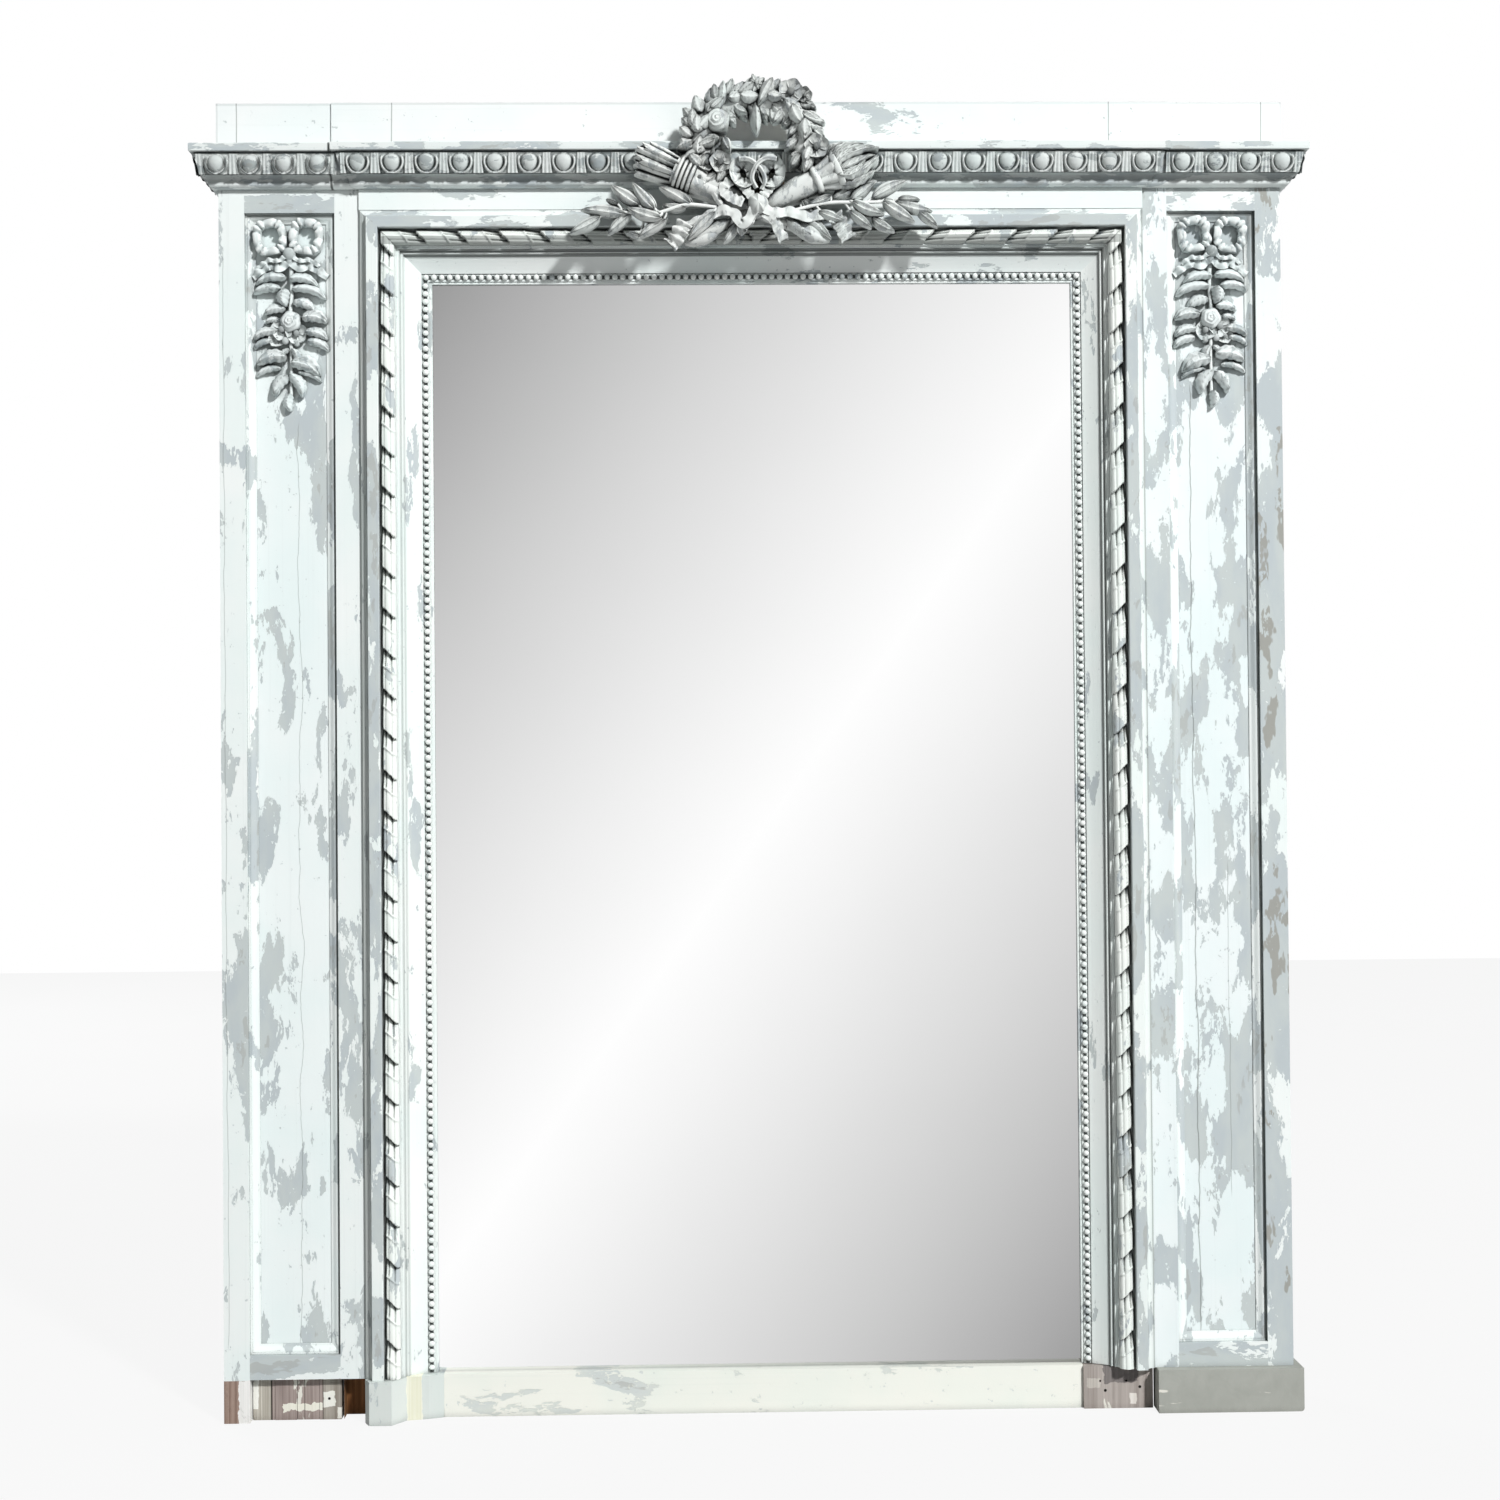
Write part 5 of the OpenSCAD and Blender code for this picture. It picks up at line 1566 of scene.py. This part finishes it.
# The wreath's own leaves: base x and y, tip x and y, width, and height at the base and at the tip.
WREATH_LEAVES = (
    (-52, 142, -49, 180, 18, 22, 20), (-38, 150, -26, 176, 20, 22, 16), (-14, 156, 3, 187, 22, 24, 16),
    (21, 178, 0, 142, 19, 34, 26), (14, 158, 33, 184, 20, 22, 14), (-6, 172, -30, 156, 18, 30, 22),
    (20, 146, 48, 128, 26, 18, 12), (36, 150, 62, 138, 22, 24, 18), (62, 132, 86, 120, 17, 24, 16),
    (68, 150, 84, 140, 14, 20, 12), (70, 112, 95, 110, 16, 22, 12), (70, 100, 98, 92, 17, 24, 14),
    (-92, 112, -93, 140, 17, 24, 20), (-90, 104, -108, 122, 15, 18, 10), (-92, 92, -117, 84, 17, 20, 10),
    (-80, 80, -112, 64, 19, 24, 12), (-70, 70, -98, 46, 19, 28, 16), (-62, 92, -88, 84, 18, 30, 22),
    (-60, 44, -88, 28, 18, 26, 14), (-48, 56, -60, 30, 17, 30, 20), (-40, 150, -34, 124, 20, 14, 10),
    (2, 150, 14, 122, 22, 14, 10), (56, 96, 38, 84, 18, 16, 10), (-50, 100, -40, 80, 16, 16, 10),
    (60, 74, 46, 56, 17, 20, 12), (78, 70, 62, 50, 17, 24, 16))

# The flame's leaves: how far across the torch they start and end, how far along it they end, width, height
# and bend.
FLAME_LEAVES = (
    (-24, -16, 156, 17, 18, -0.14), (-17, -22, 174, 18, 22, -0.12), (21, 30, 148, 18, 20, 0.16),
    (25, 20, 168, 18, 18, 0.12), (-7, -7, 187, 19, 27, -0.12), (8, 3, 192, 19, 29, 0.1),
    (15, 12, 180, 18, 26, 0.14), (0, 12, 166, 18, 32, 0.16), (-11, -4, 168, 17, 31, -0.16),
    (-3, -3, 183, 19, 26, 0.02))

# The arrows' feathers: how far across the quiver they start and end, how far along it they end, and height.
FEATHERS = (
    (-17, -21, 176, 22), (-10, -14, 184, 27), (-3, -5, 188, 31), (5, 5, 186, 29), (12, 14, 183, 26),
    (18, 24, 178, 20), (-8, -9, 178, 34), (8, 9, 176, 33))

# The branches' leaves: base x and y, tip x and y, and height; and the points of their stems.
LEFT_LEAVES = (
    (-169, 3, -211, 33, 12), (-148, -4, -180, 36, 16), (-96, 3, -142, 30, 14), (-200, 6, -218, 14, 8),
    (-188, -10, -254, -1, 8), (-226, -12, -270, -34, 4), (-182, -6, -216, -36, 6), (-138, -18, -188, -1, 18),
    (-168, -40, -190, -33, 4), (-132, -18, -172, -42, 12), (-62, -9, -100, -46, 18), (-104, -2, -138, 4, 14))
LEFT_STEM = ((-60, -2, 22), (-104, 2, 22), (-150, -10, 20), (-200, -6, 14), (-232, -12, 8))
RIGHT_LEAVES = (
    (132, 9, 168, 38, 10), (162, 13, 214, 40, 8), (106, 12, 152, 48, 6), (104, 14, 70, 2, 18),
    (134, 6, 180, -11, 16), (178, 8, 224, -20, 10), (196, 8, 250, -4, 6), (228, -2, 258, -26, 2),
    (130, -6, 162, -30, 12), (86, -8, 124, -22, 16), (62, 10, 104, -44, 10), (162, -14, 196, -33, 4),
    (200, 12, 232, 12, 8))
RIGHT_STEM = ((46, -8, 22), (96, 4, 22), (150, 6, 18), (200, 8, 12), (234, 0, 6))


@dataclass
class Crest:
    """The carved crest: wreath, crossed torch and quiver, bow, and laurel branches.

    Attributes:
        knot: x and z of the bow's knot, in millimetres.
        torch_turn: the torch's direction in degrees.
        quiver_turn: the quiver's direction.
        wreath_y: height of the wreath's middle above the knot.
        wreath_r: its radii, to the middle of the garland.
        seed: seed of its small differences.
    """

    knot: Spot = (8.0, 1737.0)
    torch_turn: float = 25.0
    quiver_turn: float = 156.0
    wreath_y: float = 100.0
    wreath_r: Spot = (76.0, 55.0)
    seed: int = 5

    def carver(self, name: str) -> Carver:
        """Args: name: the piece's CAD node. Returns: a carver whose origin is the knot."""
        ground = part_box("crest_trophy")[1].y
        return Carver(Shape("detail_" + name), Carving(self.knot[0], self.knot[1], ground), self.seed)

    def build(self, material: bpy.types.Material) -> None:
        """Args: material: its finish."""
        pieces = {"crest_trophy": self.trophy, "crest_wreath": self.wreath, "crest_bow": self.bow,
                  "crest_left_branch": self.left_branch, "crest_right_branch": self.right_branch}
        for name, carve in pieces.items():
            carver = self.carver(name)
            carve(carver)
            carver.shape.build(material, [name])

    def torch(self, c: Carver) -> None:
        """Args: c: carves the torch and its flame."""
        turn = self.torch_turn
        handle = [(-116, 1.5, 5), (-108, 7, 12), (-92, 12, 18), (-76, 11, 18), (-60, 7, 14), (-52, 8, 15)]
        body = [(-52, 8, 14), (-16, 9, 18), (10, 12, 22), (40, 15, 27), (80, 18.5, 31), (87, 19, 32)]
        ring = [(86, 19, 32), (87.5, 22.5, 36), (91, 23.5, 37), (94.5, 22, 35), (96, 19.5, 33)]
        cup = [(95, 19.5, 33), (101, 21, 34), (110, 24.5, 36), (119, 27, 38)]
        lip = [(118, 27, 38), (120, 29.5, 40), (124, 30.5, 41), (127, 29, 40), (127.5, 22, 34)]
        c.shaft(turn, handle, ridges=2, depth=0.16)
        c.shaft(turn, body, ridges=7, depth=0.05, twist=0.012)
        c.shaft(turn, ring)
        c.shaft(turn, cup, ridges=9, depth=0.09)
        c.shaft(turn, lip)
        for v0, v1, u1, wide, high, bend in FLAME_LEAVES:
            c.leaf(turned(turn, 118, v0), turned(turn, u1, v1), wide, 10, high, high - 10, veins=0.12,
                   bend=bend, notch=0.13, fill=high)

    def quiver(self, c: Carver) -> None:
        """Args: c: carves the quiver and its arrows."""
        turn = self.quiver_turn
        foot = [(-112, 1.5, 5), (-104, 6, 11), (-88, 12, 18), (-74, 11.5, 18), (-58, 8, 15), (-48, 9, 15)]
        body = [(-48, 9, 15), (0, 12, 20), (40, 15, 27), (80, 19, 31), (100, 21, 34)]
        c.shaft(turn, foot, ridges=2, depth=0.16)
        c.shaft(turn, body, ridges=6, depth=0.07)
        for i in range(4):
            u, r = 101 + 6.6 * i, 21.6 + 0.5 * i
            c.shaft(turn, [(u, r - 1.5, 34), (u + 1, r + 0.6, 37), (u + 3, r + 1.4, 38.4),
                           (u + 5, r + 0.6, 37), (u + 6.2, r - 1.5, 34)])
        c.shaft(turn, [(127, 20, 32), (131, 20, 32), (132, 12, 28)])
        for v0, v1, u1, high in FEATHERS:
            c.feather(turned(turn, 126, v0), turned(turn, u1, v1), 9.0, high)

    def trophy(self, c: Carver) -> None:
        """Args: c: carves the torch and the quiver, which are one piece."""
        self.torch(c)
        self.quiver(c)

    def garland(self, degrees: float, out: float = 0.0) -> Spot:
        """Args:
            degrees: the angle from the top, clockwise.
            out: how far outside the garland's middle line.

        Returns:
            The point.
        """
        a = math.radians(degrees)
        below = max(0.0, abs(degrees) - 90)
        wide = self.wreath_r[0] * (1 + below / 300) + out
        return wide * math.sin(a) - 6.0, self.wreath_y + (self.wreath_r[1] + out) * math.cos(a) - below * 0.5

    def wreath(self, c: Carver) -> None:
        """Args: c: carves the garland."""
        r = c.random
        path = [self.garland(a) + (14.0,) for a in range(-122, 113, 9)]
        c.bar(path, lambda t: 18 - 1.5 * math.cos(t * 50), sides=14, flat=0.75)
        count = 23
        for i in range(count):
            a = -121 + 230 * i / (count - 1)
            radial = math.atan2(math.cos(math.radians(a)), math.sin(math.radians(a)))
            outer, inner, top = (9, 38, 27, 17), (-6, 160, 25, 15), (3, 96, 29, 27)
            for out, swing, reach, high in (outer, inner) if i % 3 == 2 else (outer, inner, top):
                x, y = self.garland(a + r.uniform(-3, 3), out)
                turn = radial - math.radians(swing + r.uniform(-22, 22))
                size = reach * r.uniform(0.8, 1.08)
                lift = high + r.uniform(-2, 3)
                tip = (x + size * math.cos(turn), y + size * math.sin(turn))
                wide, tip_lift = size * r.uniform(0.62, 0.8), lift + r.uniform(-6, 4)
                c.leaf((x, y), tip, wide, 10, lift, tip_lift, groove=r.choice((0.35, 0.2, 0.45)), veins=0.03,
                       notch=0.04, fill=13)
        for x0, y0, x1, y1, wide, high, tip_high in WREATH_LEAVES:
            c.leaf((x0, y0), (x1, y1), wide, 11, high, tip_high, groove=r.choice((0.3, 0.45, -0.15)),
                   veins=0.04, notch=0.03, fill=15)
        c.star((-2, 172), 15, 30, 9)
        c.petals((47, 161), 19, 10, 26)
        c.petals((66, 158), 12, 8, 22)
        c.rose((-58, 122), 17.5, 22, 18)
        c.petals((83, 82), 18, 11, 28)
        c.petals((-54, 60), 16, 10, 30)
        c.petals((-73, 60), 13, 9, 28)
        c.petals((-84, 40), 13, 9, 24)
        c.leaf((-4, 148), (-2, 104), 19, 14, 16, 12, groove=-0.2, fill=18)

    def bow(self, c: Carver) -> None:
        """Args: c: carves the bow and the ribbon's ends."""
        for s in (-1, 1):
            c.loop((s * 20.5 - 1.5, 44.5), (11.6, 15.0), s * -20, 14.6, 7, 35, 3.6, rim=2.2, funnel=8)
            c.ribbon([(s * 21 - 2, 28, 32), (s * 14 - 2, 18, 34), (s * 5 - 2, 7, 36)], 13, pleats=12,
                     depth=1.5)
        c.ribbon([(26, 63, 40), (12, 64, 41), (0, 57, 42), (-7, 46, 41), (-9, 34, 38), (-3, 22, 35)],
                 6, depth=0.5, thick=9)
        c.ribbon([(-28, 63, 40), (-14, 62, 41), (-3, 55, 40), (6, 44, 39), (9, 32, 37), (4, 20, 35)],
                 6, depth=0.5, thick=9)
        c.ribbon([(-36, 50, 30), (-56, 44, 29), (-66, 26, 27), (-58, 8, 27), (-50, -4, 27)],
                 8, depth=1.2, thick=8)
        c.ribbon([(-40, 34, 32), (-50, 22, 31), (-40, 10, 33), (-22, 2, 35)], 14, pleats=11, depth=1.6)
        c.ribbon([(-4, -5, 37), (-22, -28, 32), (-36, -12, 32), (-54, -8, 28), (-84, -20, 21),
                  (-108, -30, 18)], 14, pleats=5, depth=1.8)
        c.ribbon([(-104, -22, 20), (-112, -34, 19), (-118, -44, 16), (-128, -54, 12)],
                 22, pleats=8.5, depth=3.6, fork=True)
        c.ribbon([(4, -4, 37), (22, -12, 33), (44, -10, 29), (70, -16, 24), (92, -12, 22), (112, -18, 19)],
                 14, pleats=5, depth=1.8)
        c.ribbon([(108, -12, 20), (118, -26, 18), (124, -36, 15), (130, -46, 11)],
                 22, pleats=8.5, depth=3.6, fork=True)
        c.ribbon([(6, -10, 33), (22, -22, 31), (28, -34, 27), (37, -50, 20)], 15, pleats=7, depth=3.0,
                 fork=True)
        c.ribbon([(-6, -10, 33), (-14, -24, 31), (-24, -33, 26), (-20, -39, 22)], 13, pleats=8, depth=2.4)
        c.knot((-1, 0), (14.5, 15.5), 45.5)
        for base, tip, wide in (((-40, -18), (-100, -44), 22), ((-30, -22), (-50, -50), 14),
                                ((40, -18), (80, -42), 18), ((70, -14), (98, -40), 17)):
            c.leaf(base, tip, wide, 9, 12, 7, groove=-0.15, veins=0.04)

    def branch(self, c: Carver, leaves: Sequence[tuple[float, ...]], stem: Path) -> None:
        """Carves a laurel branch.

        Args:
            c: carves the branch.
            leaves: base x and y, tip x and y, and height of each leaf.
            stem: points x, y and height of the stem.
        """
        c.bar(stem, lambda t: 3.0 - t, sides=8)
        for x0, y0, x1, y1, lift in leaves:
            near = min(c.curve(stem, 8), key=lambda p: math.hypot(p[0] - x0 * 0.97, p[1] - y0))
            middle = ((near[0] + x0) / 2, (near[1] + y0) / 2 + 1, lift + 6)
            end = (x0 + (x1 - x0) * 0.12, y0 + (y1 - y0) * 0.12, lift + 6)
            c.bar([near, middle, end], lambda t: 1.9, sides=7)
            long_ = math.hypot(x1 - x0, y1 - y0)
            c.leaf((x0, y0), (x1, y1), min(19.5, long_ * 0.38), 8.5, lift + 4, lift * 0.9, groove=0.55,
                   veins=0.04, bend=c.random.uniform(-0.05, 0.05), fill=10)
            if long_ > 44:
                tip = (x0 + (x1 - x0) * 0.35, y0 + (y1 - y0) * 0.35 + 12)
                c.leaf((x0 + 2, y0 + 3), tip, 8, 5, lift + 2, lift, fill=6)

    def left_branch(self, c: Carver) -> None:
        """Args: c: carves the left laurel branch."""
        self.branch(c, LEFT_LEAVES, LEFT_STEM)

    def right_branch(self, c: Carver) -> None:
        """Args: c: carves the right laurel branch."""
        self.branch(c, RIGHT_LEAVES, RIGHT_STEM)


# Cornice and foot


@dataclass(frozen=True)
class CornicePlan:
    """The lines in plan that the cornice's mouldings follow, in millimetres.

    Attributes:
        half: half the width over the pilasters.
        frame: half the width of the middle part.
        stand: how far forward of its base line each run's front lies.
    """

    half: float = 773.0
    frame: float = 570.0
    stand: float = 35.0

    def line(self, low: Vector) -> float:
        """Args: low: the lowest corner of a run. Returns: the y of its base line, in metres."""
        return low.y + self.stand * MM


@dataclass
class EggAndDart:
    """Egg-and-dart strips on the sloping face of the cornice.

    Attributes:
        plan: the lines that they follow.
        slope: where the face starts and ends: out from the cornice's base line, then up, in millimetres.
        pitch: about how far apart the eggs are.
        egg: an egg's half width and half height.
        column: about how far apart the columns of points are.
        worn: how much flatter the carving is on the returns, 0..1.
        worn_from: how far from the corner it is as flat as that.
    """

    plan: CornicePlan = CornicePlan()
    slope: tuple[Spot, Spot] = ((21.0, 17.0), (28.0, 44.5))
    pitch: float = 48.6
    egg: Spot = (11.6, 13.2)
    column: float = 1.1
    worn: float = 0.6
    worn_from: float = 16.0

    def relief(self, s: float, v: float, pitch: float) -> float:
        """Args:
            s: distance along the strip from its end.
            v: height from the middle of the strip.
            pitch: distance between eggs.

        Returns:
            How far the carving stands out, in millimetres.
        """
        s = (s % pitch) - pitch / 2
        e = (s / (self.egg[0] * (1 + 0.012 * v))) ** 2 + ((v - 0.2) / self.egg[1]) ** 2
        egg = 8.6 * math.sqrt(1 - e) + 0.8 if e < 1 else 0.0
        around = math.hypot(s / 15.4, (v - 2.4) / 16.1)
        open_top = 1.0 if v < 7 else max(0.0, 1 - (v - 7) / 5)
        shell = 6.8 * math.exp(-((around - 1) * 13.5 / 1.6) ** 2) * open_top
        away, wide = pitch / 2 - abs(s), 6.9 - 0.07 * v
        dart = 0.0
        if away < wide:
            ridge = 3.2 + 0.7 * math.cos(away / wide * math.pi * 2.5)
            dart = ridge * min(1.0, (wide - away) / 1.2) * (1 - 0.02 * v)
        rim = 1.4 if abs(v) > 13.0 else 0.0
        return max(egg, shell, dart, rim, 0.5)

    def strip(self, shape: Shape, start: Vector, run: Vector, out: Vector, length: float,
              mitres: tuple[int, int], worn: float = 0.0) -> None:
        """Adds one straight strip.

        Args:
            shape: the mesh that is added to.
            start: the foot of the cornice where the strip starts, in metres.
            run: unit vector along the strip.
            out: unit vector out of the cornice's base plane.
            length: of the strip at its foot, in millimetres.
            mitres: 1 where its start, and its end, is mitred, and 0 where it is square.
            worn: how much flatter the carving is away from the start, 0..1.
        """
        (o0, z0), (o1, z1) = self.slope
        rise, over = z1 - z0, o1 - o0
        tall = math.hypot(over, rise)
        up = Vector((0, 0, rise / tall)) + out * (over / tall)
        normal = out * (rise / tall) - Vector((0, 0, over / tall))
        foot = start + (out * o0 + Vector((0, 0, z0))) * MM
        pitch = length / round(length / self.pitch)
        columns, levels = int(length / self.column), 22
        rows = []
        for j in range(levels + 1):
            v = (j / levels - 0.5) * tall
            s0, s1 = -mitres[0] * over * j / levels, length + mitres[1] * over * j / levels
            row = []
            for i in range(columns + 1):
                s = s0 + (s1 - s0) * i / columns
                flat = 1 - worn * min(1.0, max(0.0, s / self.worn_from))
                rough = 0.3 * smooth_noise(s * 0.13, v * 0.2, start.x * 9)
                h = self.relief(s, v, pitch) * flat + 0.8 + rough
                row.append(foot + (run * s + up * (v + tall / 2) + normal * h) * MM)
            rows.append(row)
        shape.grid(rows)

    def build(self, material: bpy.types.Material) -> None:
        """Args: material: its finish."""
        (o0, _), (o1, _) = self.slope
        low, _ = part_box("middle_cornice")
        foot = low.z
        forward = Vector((0, -1, 0))
        shape = Shape("detail_middle_egg_and_dart")
        length = 2 * (self.plan.frame + o0)
        start = Vector((-length / 2 * MM, self.plan.line(low), foot))
        self.strip(shape, start, Vector((1, 0, 0)), forward, length, (0, 0))
        shape.build(material, ["middle_egg_and_dart"])
        line = self.plan.line(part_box("right_cornice")[0])
        for s, name in ((-1, "left_egg_and_dart"), (1, "right_egg_and_dart")):
            shape = Shape("detail_" + name)
            side = Vector((s, 0, 0))
            x0 = self.plan.frame + o1 + 2
            start = Vector((s * x0 * MM, line, foot))
            self.strip(shape, start, side, forward, self.plan.half + o0 - x0, (0, 1))
            corner = Vector((s * self.plan.half * MM, line - o0 * MM, foot))
            self.strip(shape, corner, -forward, side, (WALL - line) / MM + o0, (1, 0), self.worn)
            shape.build(material, [name])


@dataclass
class CrownLip:
    """The rolled lower edge of the cornice's crown, along the fronts and the returns.

    Attributes:
        plan: the lines that it follows.
        section: out from the cornice's base line and up from its foot, in millimetres.
    """

    plan: CornicePlan = CornicePlan()
    section: tuple[Spot, ...] = ((26.0, 47.4), (33.6, 47.0), (34.6, 47.6), (34.9, 48.4), (34.9, 51.5))

    def run(self, name: str, corners: Sequence[tuple[float, ...]], material: bpy.types.Material) -> None:
        """Makes the lip of one run of the cornice.

        Args:
            name: middle, left or right.
            corners: each corner's x and y on the base line in metres, and how they move with distance out.
            material: its finish.
        """
        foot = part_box(name + "_cornice")[0].z
        shape = Shape("detail_" + name + "_crown_lip")
        rows = [[Vector((x + dx * out * MM, y + dy * out * MM, foot + up * MM)) for out, up in self.section]
                for x, y, dx, dy in corners]
        shape.grid(rows)
        shape.build(material, smooth=False)

    def build(self, material: bpy.types.Material) -> None:
        """Args: material: its finish."""
        line = self.plan.line(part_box("middle_cornice")[0])
        side_line = self.plan.line(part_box("left_cornice")[0])
        edge, half = self.plan.frame * MM, self.plan.half * MM
        inner = edge + self.plan.stand * MM
        self.run("middle", [(-edge, side_line, -1, 0), (-edge, line, -1, -1), (edge, line, 1, -1),
                            (edge, side_line, 1, 0)], material)
        for s, name in ((-1, "left"), (1, "right")):
            self.run(name, [(s * inner, side_line, 0, -1), (s * half, side_line, s, -1),
                            (s * half, WALL, s, 0)], material)


@dataclass
class FootReturn:
    """The side of the recess beside the bare foot.

    Attributes:
        side: its x, in millimetres.
        depth: how far from the wall it starts and ends.
        top: its height.
        pieces: how many pieces it is divided into along the depth, and up.
    """

    side: float = -603.8
    depth: Spot = (28.0, 70.0)
    top: float = 61.0
    pieces: tuple[int, int] = (6, 2)

    def build(self, material: bpy.types.Material) -> None:
        """Args: material: its finish."""
        shape = Shape("detail_foot_return")
        start, end = self.depth
        deep, tall = self.pieces
        places = [WALL - (start + (end - start) * i / deep) * MM for i in range(deep + 1)]
        shape.grid([[Vector((self.side * MM, y, self.top * j / tall * MM)) for y in places]
                    for j in range(tall + 1)])
        shape.build(material, smooth=False)


# Studio


@dataclass(frozen=True)
class Lamp:
    """A soft round lamp.

    Attributes:
        name: its name.
        place: where it hangs, in metres.
        aim: what it points at.
        size: its width in metres.
        power: in watts.
    """

    name: str
    place: Point
    aim: Point
    size: float
    power: float

    def build(self) -> None:
        """Hangs the lamp."""
        data = bpy.data.lights.new(self.name, "AREA")
        data.shape = "DISK"
        data.size = self.size
        data.energy = self.power
        made = bpy.data.objects.new(self.name, data)
        bpy.context.scene.collection.objects.link(made)
        made.location = self.place
        made.rotation_euler = (Vector(self.aim) - Vector(self.place)).to_track_quat("-Z", "Y").to_euler()
        made.visible_glossy = False


@dataclass(frozen=True)
class Camera:
    """The camera, which stands where the photograph's stood.

    Attributes:
        lens: in millimetres on a 36 mm sensor.
        stand: its x, distance from the wall and height, in metres.
        turn: pitch, yaw and roll in degrees.
    """

    lens: float = 48.55
    stand: Point = (-0.070, 3.019, 0.922)
    turn: Point = (0.785, 1.182, -0.477)

    def build(self) -> None:
        """Sets the camera up."""
        data = bpy.data.cameras.new("camera")
        data.lens = self.lens
        data.sensor_width = 36
        data.clip_end = 60
        made = bpy.data.objects.new("camera", data)
        bpy.context.scene.collection.objects.link(made)
        pitch, yaw, roll = (math.radians(a) for a in self.turn)
        forward = Vector((math.sin(yaw) * math.cos(pitch), math.cos(yaw) * math.cos(pitch), math.sin(pitch)))
        right = Vector((math.cos(yaw), -math.sin(yaw), 0))
        up = right.cross(forward)
        rolled_right = right * math.cos(roll) + up * math.sin(roll)
        rolled_up = -right * math.sin(roll) + up * math.cos(roll)
        turn = Matrix((rolled_right, rolled_up, -forward)).transposed()
        x, away, z = self.stand
        made.matrix_world = Matrix.Translation((x, WALL - away, z)) @ turn.to_4x4()
        bpy.context.scene.camera = made


@dataclass
class Studio:
    """Floor, backdrop, lamps and camera.

    Attributes:
        lamps: the key lamp before the mirror, and a weaker one behind it.
        camera: the camera.
        floor_size: half the floor's width and half its depth, in metres.
        floor_tones: the floor's two greys, as linear values.
        sky: the colour of the soft light round the object.
        sky_strength: its strength.
        floor_seen: how white the floor is before the camera; the rest of it shows the shadow.
    """

    lamps: tuple[Lamp, ...] = (Lamp("key", (6.4, -9.9, 8.9), (0, 0, 1.1), 1.2, 2050),
                               Lamp("back", (-4.6, 5.2, 3.4), (0, 0, 1.0), 2.0, 230))
    camera: Camera = Camera()
    floor_size: Spot = (9.0, 7.0)
    floor_tones: Spot = (0.46, 0.42)
    sky: Point = (0.97, 0.99, 1.0)
    sky_strength: float = 0.14
    floor_seen: float = 0.90

    def floor(self) -> None:
        """Adds the pale floor, which goes to white before the camera and in reflections."""
        mesh = bpy.data.meshes.new("floor")
        x, y = self.floor_size
        mesh.from_pydata([(-x, -y, 0), (x, -y, 0), (x, y, 0), (-x, y, 0)], [], [(0, 1, 2, 3)])
        made = bpy.data.objects.new("floor", mesh)
        bpy.context.scene.collection.objects.link(made)
        g = Graph("floor")
        light, dark = ((tone,) * 3 for tone in self.floor_tones)
        soft = g.noise(g.place(), 1.4, 3).step(0.3, 0.8)
        g.finish(Base_Color=Vec(g, light).mixed(dark, soft), Roughness=0.9, Specular_IOR_Level=0.0)
        white = g.node("ShaderNodeEmission", Color=(1, 1, 1), Strength=1.0)
        g.feed(g.output.inputs["Surface"], g.blend(g.shader, white, g.seen(self.floor_seen)))
        mesh.materials.append(g.material)

    def world(self) -> None:
        """Sets the white background and the soft light round the object."""
        made = bpy.data.worlds.new("studio")
        bpy.context.scene.world = made
        made.use_nodes = True
        g = Nodes(made.node_tree)
        soft = g.node("ShaderNodeBackground", Color=self.sky, Strength=self.sky_strength)
        white = g.node("ShaderNodeBackground", Color=(1, 1, 1), Strength=1.0)
        g.node("ShaderNodeOutputWorld", Surface=g.blend(soft, white, g.seen()))

    def build(self) -> None:
        """Sets the whole studio up."""
        self.floor()
        self.world()
        for lamp in self.lamps:
            lamp.build()
        self.camera.build()
        bpy.context.scene.view_settings.view_transform = "Standard"
        LOG.info("studio: floor, world, %d lamps and camera", len(self.lamps))


def main() -> None:
    """Builds the scene in order and logs each piece."""
    logging.basicConfig(level=logging.INFO, format="%(name)s: %(message)s")
    paint = Paintwork()
    paint.dress()
    finish = paint.materials
    jamb_low, jamb_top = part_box("right_jamb")
    mitre = (jamb_low.x, jamb_top.z - (jamb_top.x - jamb_low.x))
    for ribbon in (RibbonTwist("left_ribbon", mitre),
                   RibbonTwist("right_ribbon", mitre, first=(1632.0, 1632.0), lean=-1),
                   RibbonTwist("head_ribbon", mitre, pitch=60.0, first=(480.0, 498.0), upright=False)):
        ribbon.build(finish["ribbon_paint"])
    for beads in (PearlBeads("left_beads"), PearlBeads("right_beads"),
                  PearlBeads("head_beads", upright=False)):
        beads.build(finish["bead_paint"])
    for drop in (Drop("left_drop", 3), Drop("right_drop", 4, flip=-1)):
        drop.build(finish["drop_paint"])
    Crest().build(finish["crest_paint"])
    EggAndDart().build(finish["egg_paint"])
    CrownLip().build(finish["cornice_paint"])
    FootReturn().build(finish["recess_wood"])
    Studio().build()


if __name__ == "__main__":
    main()
